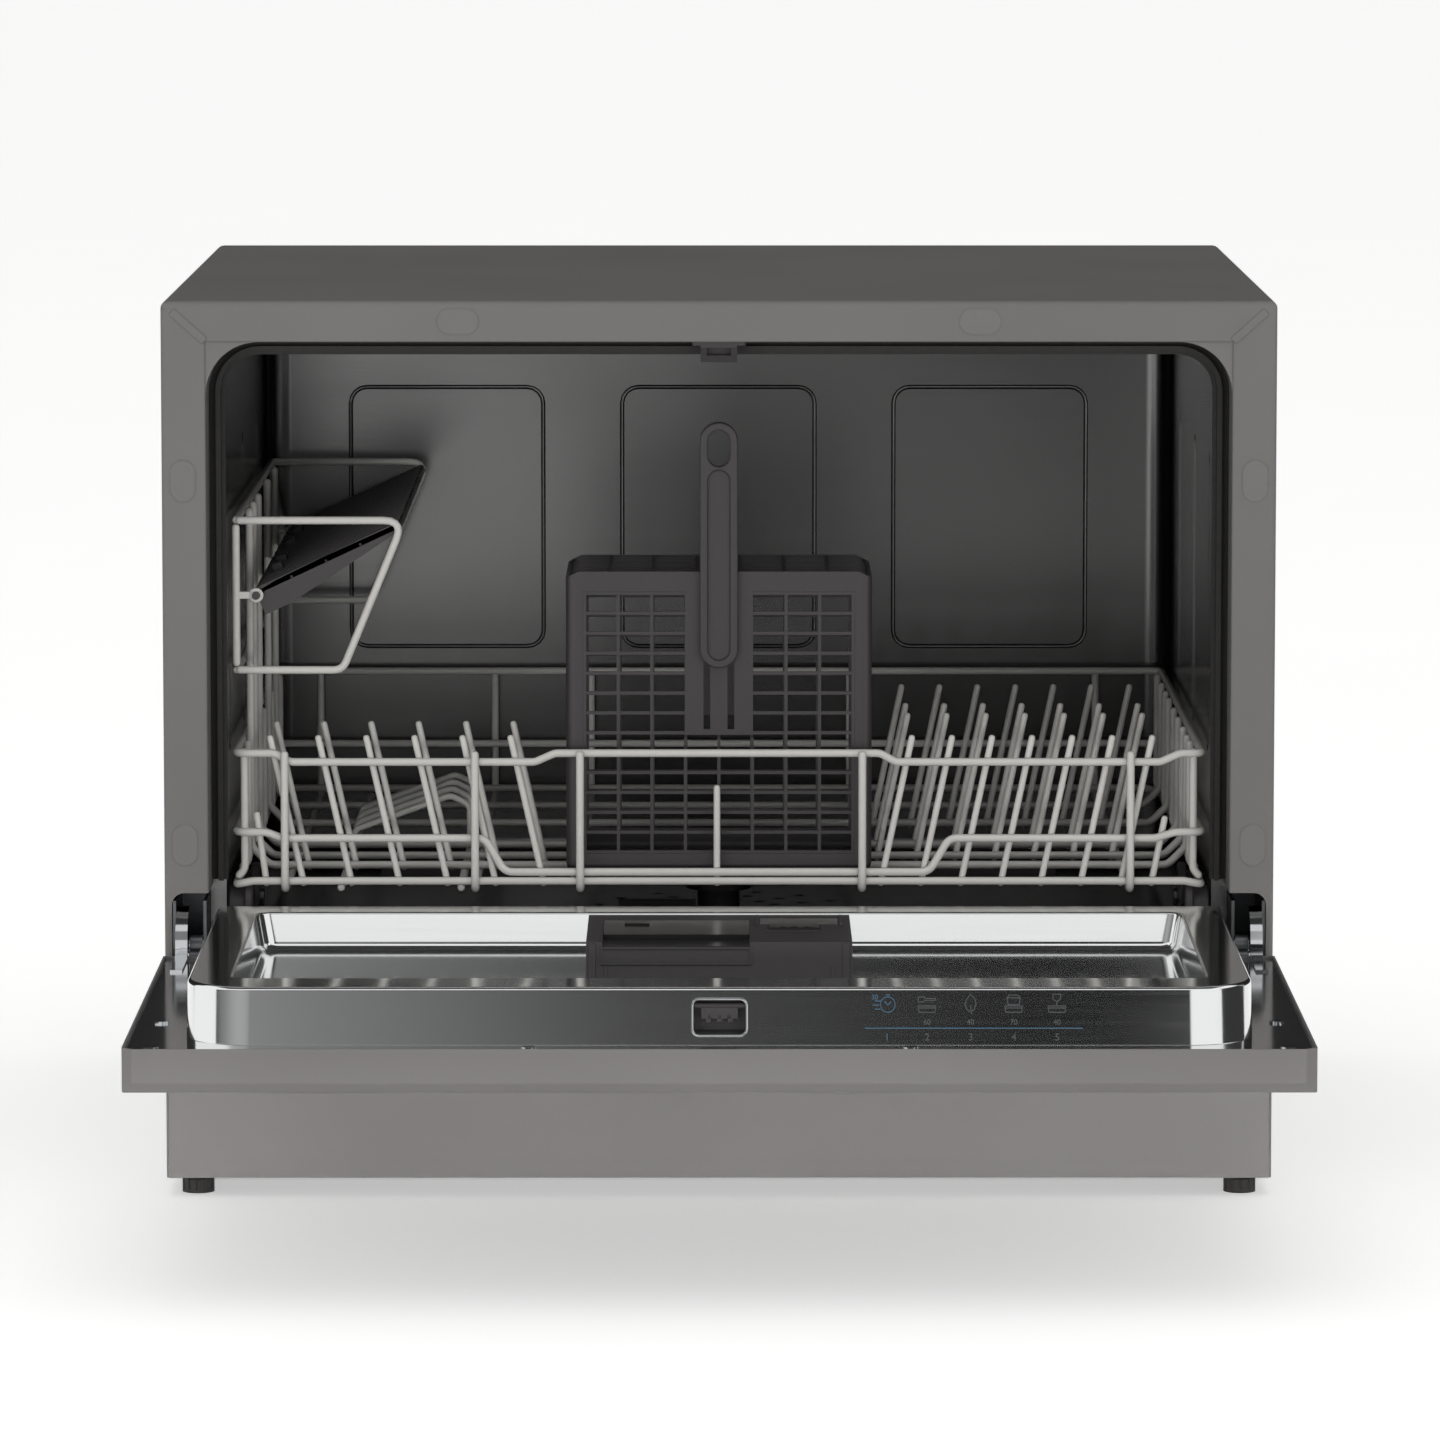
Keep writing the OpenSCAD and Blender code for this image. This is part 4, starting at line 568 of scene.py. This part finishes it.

# Door liner
# Pressed stainless steel: a raised hat that seals in the mouth, with a basin for the dispenser.
# It is polished, so it mirrors the room, and it reads brighter than the tub, whose steel carries painted shade in its
# base colour.
bright_steel, where = material("polished_stainless_steel")
lined = node(bright_steel, "Mapping", {"Vector": where, "Scale": (1, 30, 30)})
grain = node(bright_steel, "TexNoise", {"Vector": lined.outputs["Vector"], "Scale": 1 / 0.06, "Detail": 4.0})
rough = node(bright_steel, "MapRange", {"Value": grain.outputs["Fac"], "To Min": 0.08, "To Max": 0.13})
node(bright_steel, "Principled BSDF", {
    "Base Color": linear("#e9eaea"), "Metallic": 1.0, "Roughness": rough.outputs["Result"]
})
lean = 10 / 25.7
hat = block((-248, -294.3, 120.4), (248, -5, 146.3))
for v in hat.verts:
    if v.co.y < -200 and v.co.z > 146:
        v.co.y += 10
upright = [e for e in hat.edges if abs(e.verts[0].co.z - e.verts[1].co.z) > 20]
round_off(hat, [e for e in upright if e.verts[0].co.y < -200], 31, 14)
upright = [e for e in hat.edges if abs(e.verts[0].co.z - e.verts[1].co.z) > 20 and e.verts[0].co.y > -5.1]
round_off(hat, upright, 6, 4)
basin = block((-230, -257.3, 128.3), (230, -25, 160))
for v in basin.verts:
    if v.co.z < 130:
        v.co.x *= 224 / 230
        v.co.y += 7 if v.co.y < -200 else -7.5
upright = [e for e in basin.edges if abs(e.verts[0].co.z - e.verts[1].co.z) > 20]
round_off(basin, upright, 7, 5)
round_off(basin, [e for e in select(basin, lambda v: v.z < 129) if e.calc_face_angle(0) > 0.5], 4, 4)
hat = cut(hat, basin)
rims = [e for e in select(hat, lambda v: abs(v.z - 146.3) < 0.01) if e.calc_face_angle(0) > 0.5]
inner = [e for e in rims if all(abs(v.co.x) < 231 and -258 < v.co.y < -24 for v in e.verts)]
outer = [e for e in rims if e not in inner]
round_off(hat, outer, 1.8, 4)
inner = [e for e in select(hat, lambda v: abs(v.z - 146.3) < 0.01 and abs(v.x) < 231 and -258 < v.y < -24)
         if e.calc_face_angle(0) > 0.5]
round_off(hat, inner, 1, 3)
mouth_tool = block((-12, -300, 125.6), (12, -279, 140.6))
round_off(mouth_tool, [e for e in mouth_tool.edges if abs(e.verts[0].co.y - e.verts[1].co.y) > 5], 2.5, 4)
room_y = -292.9 + 1.1 * lean
housing_room = prism(
    [(room_y, 121.5), (room_y + 22.2 * lean, 143.7), (-277.5, 143.7), (-277.5, 121.5)], "x", -15.1, 15.1
)
plate = block((-273.7, -315, 119.6), (273.7, -12.3, 120.6))
round_off(plate, [e for e in plate.edges if all(v.co.y < -300 for v in e.verts)
                  and abs(e.verts[0].co.z - e.verts[1].co.z) > 0.5], 5, 1)
liner = cut(hat, plate, way="UNION")
foot = [e for e in select(liner, lambda v: abs(v.z - 120.6) < 0.01 and abs(v.x) < 250 and -296 < v.y < -12)
        if e.calc_face_angle(0) > 0.3]
round_off(liner, foot, 2.2, 4)
liner = cut(liner, mouth_tool, housing_room)
piece("door_liner_sheet", liner, bright_steel, "door", ["door_liner"])

# Programme marks
# Printed on the liner's far wall: five signs over a line, with plain numbers from one to five under it.
# The first sign, the line and its number are in blue, the others in grey.


def stroke(bm, points, wide=0.4):
    """A printed line along points (x, z) of the marks' plane"""
    for (x0, z0), (x1, z1) in zip(points, points[1:]):
        span = math.hypot(x1 - x0, z1 - z0)
        line = block((-span / 2 - wide / 2, -0.05, -wide / 2), (span / 2 + wide / 2, 0.05, wide / 2))
        bmesh.ops.rotate(line, cent=(0, 0, 0), matrix=Matrix.Rotation(math.atan2(z0 - z1, x1 - x0), 3, "Y"), verts=line.verts)
        bmesh.ops.translate(line, vec=((x0 + x1) / 2, 0, (z0 + z1) / 2), verts=line.verts)
        join(bm, line)


def number(digit, x, z, high):
    """A plain printed number"""
    curve = bpy.data.curves.new("number", "FONT")
    curve.body = str(digit)
    curve.size = high * 1.4
    curve.align_x = "CENTER"
    curve.extrude = 0.05
    holder = bpy.data.objects.new("number", curve)
    mesh = bpy.data.meshes.new_from_object(holder)
    bm = bmesh.new()
    bm.from_mesh(mesh)
    bm.transform(Matrix.Translation((x, 0, z - high / 2)) @ Matrix.Rotation(math.radians(90), 4, "X"))
    bpy.data.objects.remove(holder)
    bpy.data.curves.remove(curve)
    bpy.data.meshes.remove(mesh)
    return bm


blue_marks = join(bmesh.new(), number(1, 77.4, 124.4, 3.2), number(30, 71.8, 142, 2.2))
dial = [(77.8 + 3.4 * math.sin(k * math.tau / 24), 138.6 + 3.4 * math.cos(k * math.tau / 24)) for k in range(25)]
for path in (
    dial, [(76.4, 139.8), (77.8, 138.4), (79.2, 139.8)], [(77, 142.9), (78.6, 142.9)], [(72, 140.2), (74.2, 140.2)],
    [(71, 138.4), (73.6, 138.4)], [(72, 136.6), (74.2, 136.6)], [(67.5, 128.2), (167.5, 128.2)]
):
    stroke(blue_marks, path)
grey_marks = bmesh.new()
fork = [(-4, 139.8), (-4, 142), (-1.4, 142), (-0.8, 141.3), (4, 141.3), (4, 140.5), (-0.8, 140.5), (-1.4, 139.8), (-4, 139.8)]
leaf = [(0, 143.2), (2, 141.2), (2.6, 138.8), (1.6, 136.4), (0, 135.4), (-1.8, 136.6), (-2.6, 138.8), (-1.6, 141), (0, 143.2)]
pot = [(-3, 141.6), (-2.6, 138.6), (2.6, 138.6), (3, 141.6), (-3, 141.6), (-2, 142.8), (2, 142.8), (3, 141.6)]
glass = [(-1.9, 143.2), (-1.7, 140.9), (0, 139.9), (0, 138.4), (0, 139.9), (1.7, 140.9), (1.9, 143.2), (-1.9, 143.2)]
plates = [(-4.1, 138), (4.1, 138), (3.7, 135.2), (-3.7, 135.2), (-4.1, 138)]
for i, (x, sign, heat) in enumerate(((95.9, fork, 60), (116, leaf, 40), (136, pot, 70), (156, glass, 40))):
    for path in (sign, [(0, 138), (0.6, 134.6)]) if sign is leaf else (sign, plates, [(-3.9, 137.1), (3.9, 137.1)]):
        stroke(grey_marks, [(x + a, z) for a, z in path])
    join(grey_marks, number(heat, x, 131, 2.4), number(i + 2, x, 124.4, 3.2))
for name, shape, tint in (("marks_blue", blue_marks, "#2f6f90"), ("marks_grey", grey_marks, "#474646")):
    ink, where = material(name)
    speck = node(ink, "TexNoise", {"Vector": where, "Scale": 1 / 0.0006})
    shade = node(ink, "MixRGB", {"Fac": speck.outputs["Fac"], "Color1": linear(tint), "Color2": linear("#4a5054")})
    node(ink, "Principled BSDF", {"Base Color": shade.outputs["Color"], "Roughness": 0.5})
    for v in shape.verts:
        v.co.y += -294.36 + (v.co.z - 120.6) * lean
    piece(name, shape, ink, "door")

# Latch
# A moulded housing behind the liner's mouth; a sprung tongue with three teeth catches the strike.
# A polished bead frames the mouth.
bead = prism([(-13.1, 124.5), (13.1, 124.5), (13.1, 141.7), (-13.1, 141.7)], "y", -0.9, 0.4, corners=3.6)
bead = cut(bead, prism([(-12, 125.6), (12, 125.6), (12, 140.6), (-12, 140.6)], "y", -5, 5, corners=2.5))
round_off(bead, [e for e in bead.edges if all(v.co.y < -0.85 for v in e.verts) and e.calc_face_angle(0) > 0.5], 0.5, 2)
for v in bead.verts:
    v.co.y += -294.3 + (v.co.z - 120.6) * lean
piece("latch_bead", bead, chrome, "door")
teeth = bmesh.new()
for x in (-5.2, 0, 5.2):
    block((x - 1.3, -284.7, 129.9), (x + 1.3, -283.1, 132), 0.3, 2, into=teeth)
piece("tongue_teeth", teeth, dark_plastic, "tongue")
stop = block((-8.6, -314.9, 120.5), (8.6, -308, 121.9), 0.5, 2)
for x in (-4, 0, 4):
    block((x - 0.6, -314.6, 121.6), (x + 0.6, -309, 122.1), 0.2, 1, into=stop)
piece("rim_stop", stop, rubber, "door")
finish(tray_plastic, "latch_housing")
finish(dark_plastic, "latch_tongue")

# Controls
# A gloss black strip with a tinted window, satin grey keys, and a moulded grip, all in the door's outer face.
gloss_black, where = material("gloss_black_acrylic")
haze = node(gloss_black, "TexNoise", {"Vector": where, "Scale": 1 / 0.05})
rough = node(gloss_black, "MapRange", {"Value": haze.outputs["Fac"], "To Min": 0.1, "To Max": 0.16})
node(gloss_black, "Principled BSDF", {
    "Base Color": linear("#1b1c1d"), "Roughness": rough.outputs["Result"], "Coat Weight": 0.5
})
finish(gloss_black, "control_fascia", "display_window")
key_plastic, where = material("satin_grey_abs")
speck = node(key_plastic, "TexNoise", {"Vector": where, "Scale": 1 / 0.002})
shade = node(key_plastic, "MixRGB", {"Fac": speck.outputs["Fac"], "Color1": linear("#8a8c8e"), "Color2": linear("#939597")})
node(key_plastic, "Principled BSDF", {"Base Color": shade.outputs["Color"], "Roughness": 0.35})
finish(key_plastic, "power_button", "program_button", "delay_button", "start_button")
board_look, where = material("glass_epoxy_board")
weave = node(board_look, "TexNoise", {"Vector": where, "Scale": 1 / 0.002})
shade = node(board_look, "MixRGB", {"Fac": weave.outputs["Fac"], "Color1": linear("#23502f"), "Color2": linear("#2f6b40")})
node(board_look, "Principled BSDF", {"Base Color": shade.outputs["Color"], "Roughness": 0.35})
finish(board_look, "control_board")
finish(dark_plastic, "grip_cup")

# Dispenser
# A moulded body in the liner's basin with a sliding lid over the detergent cup and a flap for rinse aid.
# The lid and flap are glossier than the body.
glossy_plastic, where = material("glossy_dark_polypropylene")
haze = node(glossy_plastic, "TexNoise", {"Vector": where, "Scale": 1 / 0.02})
rough = node(glossy_plastic, "MapRange", {"Value": haze.outputs["Fac"], "To Min": 0.16, "To Max": 0.24})
node(glossy_plastic, "Principled BSDF", {"Base Color": linear("#1e1c1d"), "Specular IOR Level": 0.3, "Roughness": rough.outputs["Result"]})
finish(dark_plastic, "dispenser_body")
finish(glossy_plastic, "detergent_lid", "rinse_aid_flap")

slope = 8 / 17.6
lip = prism([(-57, 135.6), (15.6, 135.6), (15.6, 143.7), (-57, 143.7)], "y", -0.7, 0.4)
lip = cut(lip, prism([(-56, 136.6), (14.6, 136.6), (14.6, 142.7), (-56, 142.7)], "y", -3, 3))
for s in (-1, 1):
    block((s * 61 - 1.7, -1, 128.6), (s * 61 + 1.7, 0.5, 145.6), 0.6, 3, into=lip)
    block((s * 54.5 - 0.8, -0.6, 128.6), (s * 54.5 + 0.8, 0.5, 135), 0.3, 2, into=lip)
for v in lip.verts:
    v.co.y += -139 + (v.co.z - 128.3) * slope
for x in (18.8, 59.2):
    block((x - 0.8, -76, 145.7), (x + 0.8, -44, 147.3), 0.4, 2, into=lip)
for x in (23.5, 49.8):
    block((x - 0.5, -92, 145.7), (x + 0.5, -72, 146.4), 0.2, 1, into=lip)
block((23.5, -92.5, 145.7), (49.8, -91.5, 146.4), 0.2, 1, into=lip)
piece("dispenser_trim", lip, dark_plastic, "door")
tray = block((-55.5, -131, 143.4), (14.2, -57, 143.8), 0.1, 1)
piece("lid_track", tray, glossy_plastic, "door")
tab = block((24.5, -90.5, 145.6), (48.8, -69.6, 147.2), 0.5, 2)
for x in (31, 36.6, 42.2):
    block((x - 1.6, -88, 147), (x + 1.6, -84, 147.4), 0.2, 1, into=tab)
piece("flap_catch", tab, glossy_plastic, "door")

# Rack
# Round steel wire, 4 mm, welded and dipped in grey nylon: smooth, with soft bends and rounded tips.
# The coating is satin, and gathers a little at the joints.
nylon, where = material("grey_nylon_coat")
mottle = node(nylon, "TexNoise", {"Vector": where, "Scale": 1 / 0.004, "Detail": 3.0})
shade = node(nylon, "MixRGB", {"Fac": mottle.outputs["Fac"], "Color1": linear("#c6c4bf"), "Color2": linear("#cecdc8")})
node(nylon, "Principled BSDF", {
    "Base Color": shade.outputs["Color"], "Roughness": 0.36
})


def bent(points, radius, ring):
    """The path with each corner rounded, as a list of points"""
    made = []
    count = len(points)
    for i, p in enumerate(points):
        if not ring and i in (0, count - 1):
            made.append(Vector(p))
            continue
        a, b, c = Vector(points[i - 1]), Vector(p), Vector(points[(i + 1) % count])
        d1, d2 = (b - a).normalized(), (c - b).normalized()
        turn = d1.angle(d2, 0)
        if turn < 0.02:
            made.append(b)
            continue
        t = min(radius * math.tan(turn / 2), 0.48 * (b - a).length, 0.48 * (c - b).length)
        start, end = b - d1 * t, b + d2 * t
        steps = 3 if turn < 0.9 else 5
        for k in range(steps + 1):
            u = k / steps
            made.append(start * (1 - u) ** 2 + b * 2 * u * (1 - u) + end * u * u)
    return made


def wires(paths, thick, bends=7, sides=3):
    """Round wires along paths of points; a path that returns to its first point is a ring"""
    curve = bpy.data.curves.new("wire", "CURVE")
    curve.dimensions = "3D"
    curve.bevel_depth = thick / 2
    curve.bevel_resolution = sides
    curve.use_fill_caps = True
    for path in paths:
        ring = tuple(path[0]) == tuple(path[-1])
        points = [(p, 1.0) for p in bent(path[:-1] if ring else path, bends, ring)]
        if not ring:
            for end in (0, -1):
                tip, behind = points[end][0], points[1 if end == 0 else -2][0]
                along = (behind - tip).normalized() * thick / 2
                cap = [(tip, 0.45), (tip + along * 0.2, 0.75), (tip + along * 0.55, 0.94), (tip + along, 1.0)]
                points = cap + points[1:] if end == 0 else points[:-1] + cap[::-1]
        spline = curve.splines.new("POLY")
        spline.points.add(len(points) - 1)
        for slot_point, (p, size) in zip(spline.points, points):
            slot_point.co = (*p, 1)
            slot_point.radius = size
        spline.use_cyclic_u = ring
    holder = bpy.data.objects.new("wire", curve)
    mesh = bpy.data.meshes.new_from_object(holder)
    bm = bmesh.new()
    bm.from_mesh(mesh)
    bpy.data.objects.remove(holder)
    bpy.data.curves.remove(curve)
    bpy.data.meshes.remove(mesh)
    return bm


half = 241
rail_y, rear_rail = 33.05, 416.95
front_y, rear_y = 29, 421
floor_z, cross_z, runner_z = 149.7, 153.75, 152.05
post_x = 236.95
rim_z, mid_z = 218, 178.3
upright_x = [-216.6, -121.7, -69.3, 71.5, 205.3]
cross_y = [95, 132, 177, 266, 340]
rim = [(-241, 0), (-221.6, 0), (-214, 4.4), (-91.8, 4.4), (-81.8, 0), (80.5, 0), (88, 4.4), (220.3, 4.4), (230.3, 0), (241, 0)]
middle = [(-241, 0), (-226, 0), (-218, 3), (-117, 3), (-107, 20), (105, 20), (115, 3), (218, 3), (228, 0), (241, 0)]
frame_paths = []
for path, z in ((rim, rim_z), (middle, mid_z)):
    ring = [(x, rail_y, z - drop) for x, drop in path] + [(half, rear_rail, z), (-half, rear_rail, z)]
    frame_paths.append(ring + ring[:1])
low_ring = [
    (-232.5, rail_y, cross_z), (232.5, rail_y, cross_z), (half, rail_y, runner_z), (half, rear_rail, runner_z),
    (232.5, rear_rail, cross_z), (-232.5, rear_rail, cross_z), (-half, rear_rail, runner_z), (-half, rail_y, runner_z)
]
frame_paths.append(low_ring + low_ring[:1])
for x in upright_x:
    frame_paths.append([(x, front_y, rim_z + 1.4), (x, front_y, floor_z), (x, rear_y, floor_z), (x, rear_y, rim_z + 1.4)])
for x in (-189, -129):
    frame_paths.append([(x, rail_y + 4, floor_z), (x, rear_rail, floor_z)])
frame_paths.append([(-75, 60, cross_z), (77, 60, cross_z)])
for y in cross_y:
    frame_paths.append([
        (-post_x, y, 335.5), (-post_x, y, cross_z + 9.45), (-post_x + 9.45, y, cross_z),
        (post_x - 9.45, y, cross_z), (post_x, y, cross_z + 9.45), (post_x, y, 220)
    ])
for s in (-1, 1):
    for y in (37.1, 70, 220, 300, 380):
        frame_paths.append([(s * post_x, y, 220), (s * post_x, y, 159.1), (s * half, y, 155)])
for y in (45, 400):
    frame_paths.append([(-half, y, 333.5), (-157, y, 333.5), (-188, y, 258.5), (-half, y, 258.5)])
    frame_paths.append([(-half, y, 260.5), (-half, y, 331.5)])
for z in (258.5, 333.5):
    frame_paths.append([(-half, 45, z), (-half, 400, z)])
rack = wires(frame_paths, 4, 7)
for y in (45, 400):
    eye = turned([(y - 1, 2.05), (y - 1, 3.3), (y - 0.7, 3.6), (y + 0.7, 3.6), (y + 1, 3.3), (y + 1, 2.05)], (0, 0), 24)
    bmesh.ops.rotate(eye, cent=(0, 0, 0), matrix=Matrix.Rotation(math.radians(90), 3, "Z"), verts=eye.verts)
    bmesh.ops.translate(eye, vec=(-231, 0, 296), verts=eye.verts)
    join(rack, eye, block((-241, y - 0.9, 294.2), (-234, y + 0.9, 297.8), 0.5))
piece("rack_wires", rack, nylon, "rack", ["rack_frame"], sharp=60)

# Plate tines and bowl rest
# Thinner wire, 3.4 mm, welded behind the cross wires; the tines lean, and their tips are dipped round.
tine_paths = []
low = 150.85
for y in (36.8, 98.75):
    for i in range(6):
        x = -207.3 + 24 * i
        tine_paths.append([(x, y, low), (x - 17, y, 226.6)])
for y in (36.8, 135.75, 180.75, 269.75):
    for i in range(7):
        x = 80.6 + 20 * i
        tine_paths.append([(x, y, low), (x + 16, y, 226.6)])
for x0, x1, z in ((-226, -231, 188), (216, 223, 186), (-1, -1, 201.5)):
    tine_paths.append([(x0, 36.8, low), (x1, 36.8, z)])
for y in (195, 225, 255, 285):
    tine_paths.append([(-189, y, 151.75), (-189, y, 159), (-139, y, 177), (-129, y, 172), (-129, y, 151.75)])
piece("plate_tines", wires(tine_paths, 3.4, 6), nylon, "rack", ["rack_tines"], sharp=60)

# Cup shelf
# Moulded polypropylene: a slotted leaf on a long pin, parked at a slope over the left wall.
shelf = bmesh.new()
pitch = 350.2 / 60
for j in range(61):
    y = min(max(47.4 + j * pitch, 48.2), 396.8)
    block((2, y - 0.8, 0), (79, y + 0.8, 1.6 if j % 3 else 3.2), into=shelf)
for x, wide in ((0.4, 4), (19, 1.6), (38, 1.6), (57, 1.6), (77, 3)):
    block((x, 47.4, -0.8), (x + wide, 397.6, 1.8), 0.3, 1, into=shelf)
for j in (0, 12, 24, 36, 48, 60):
    y = min(max(47.4 + j * pitch, 48.4), 396.6)
    web = prism([(0, 1.2), (0, -11), (14, -11), (80, -1), (80, 2.5), (40, 3.1), (12, 2.6)], "y", y - 1, y + 1)
    join(shelf, web)
for y in (113, 155, 245, 315):
    block((7, y - 5, 1.6), (13, y + 5, 6.5), 1, 2, into=shelf)
pin = bmesh.new()
bmesh.ops.create_cone(pin, cap_ends=True, segments=24, radius1=2, radius2=2, depth=362,
                      matrix=Matrix.Translation((0, 222.5, 0)) @ Matrix.Rotation(math.radians(90), 4, "X"))
join(shelf, pin)
bmesh.ops.rotate(shelf, cent=(0, 0, 0), matrix=Matrix.Rotation(math.radians(-25), 3, "Y"), verts=shelf.verts)
bmesh.ops.translate(shelf, vec=(-231, 0, 296), verts=shelf.verts)
piece("cup_shelf_leaf", shelf, dark_plastic, "shelf", ["cup_shelf"])

# Cutlery basket
# A moulded box with open grids in its walls, a divided mouth and a loop handle that slides in its front plate.
basket_lo = (-76.5, 45, 155.8)
basket_hi = (76.5, 136, 307.8)
shell_bm = hollow((basket_lo[0], basket_lo[1], basket_lo[2]), (basket_hi[0], basket_hi[1], 340), 2, 3,
                  block((-100, 0, 307.8), (100, 200, 400)), 3)
windows = [block((-68, 30, 165.8), (68, 150, 225.8)), block((-68, 30, 225), (-17, 150, 297.8)),
           block((17, 30, 225), (68, 150, 297.8)), block((-90, 53.5, 165.8), (90, 127.5, 297.8))]
for s in (-1, 1):
    windows.append(prism([(s * 69.5, 308), (s * 77, 304.4), (s * 77, 308)], "y", 30, 150))
for x in (-6, 6):
    windows.append(block((x - 1.7, 30, 228.6), (x + 1.7, 50, 272)))
for i in range(-3, 4):
    windows.append(block((i * 19 - 6, 55, 150), (i * 19 + 6, 126, 160)))
shell_bm = cut(shell_bm, *windows)
piece("basket_box", shell_bm, dark_plastic, "rack", ["basket_shell"])

grids = bmesh.new()
for y in (45.2, 134.2):
    for i in range(9):
        x = -67.9 + i * (135.8 - 1.6) / 8
        high = 224 if abs(x + 0.8) < 17 and y < 90 else 297.6
        block((x, y, 165.9), (x + 1.6, y + 1.6, high), into=grids)
    for j in range(14):
        z = 165.9 + j * (131.8 - 1.6) / 13
        for a, b in (((-67.9, 67.9),) if z < 224 or y > 90 else ((-67.9, -17.1), (17.1, 67.9))):
            block((a, y + 0.1, z), (b, y + 1.5, z + 1.6), into=grids)
for x in (-76.3, 74.7):
    for i in range(5):
        y = 53.6 + i * (73.8 - 1.6) / 4
        block((x, y, 165.9), (x + 1.6, y + 1.6, 297.6), into=grids)
    for j in range(14):
        z = 165.9 + j * (131.8 - 1.6) / 13
        block((x + 0.1, 53.6, z), (x + 1.5, 127.4, z + 1.6), into=grids)
for j in range(1, 7):
    y = 45 + 91 * j / 7
    rail = [(-74.4, 303.4), (-69, 306), (69, 306), (74.4, 303.4), (74.4, 304.8), (69, 307.5), (-69, 307.5), (-74.4, 304.8)]
    join(grids, prism(rail, "y", y - 0.8, y + 0.8))
for i in range(1, 7):
    x = -76.5 + 153 * i / 7
    block((x - 0.8, 47.1, 304), (x + 0.8, 133.9, 307.4), into=grids)
piece("basket_lattice", grids, dark_plastic, "rack", ["basket_grids"])

loop = prism([(-9.5, 259.8), (9.5, 259.8), (9.5, 382.8), (-9.5, 382.8)], "y", 39.7, 44.7, corners=9.4, steps=6)
loop = cut(loop, prism([(-5.5, 360.8), (5.5, 360.8), (5.5, 378.8), (-5.5, 378.8)], "y", 30, 60, corners=5.4, steps=6))
groove = prism([(-5.5, 263.8), (5.5, 263.8), (5.5, 358.8), (-5.5, 358.8)], "y", 30, 42.2, corners=5.4, steps=6)
round_off(groove, select(groove, lambda v: v.y > 42.1), 0.8, 2)
loop = cut(loop, groove)
round_off(loop, [e for e in loop.edges if all(v.co.y < 39.8 for v in e.verts) and e.calc_face_angle(0) > 0.5], 1, 3)
for x in (-6, 6):
    block((x - 1.5, 44.6, 263.8), (x + 1.5, 48, 271.8), 0.3, 1, into=loop)
piece("basket_loop", loop, dark_plastic, "handle", ["basket_handle"])
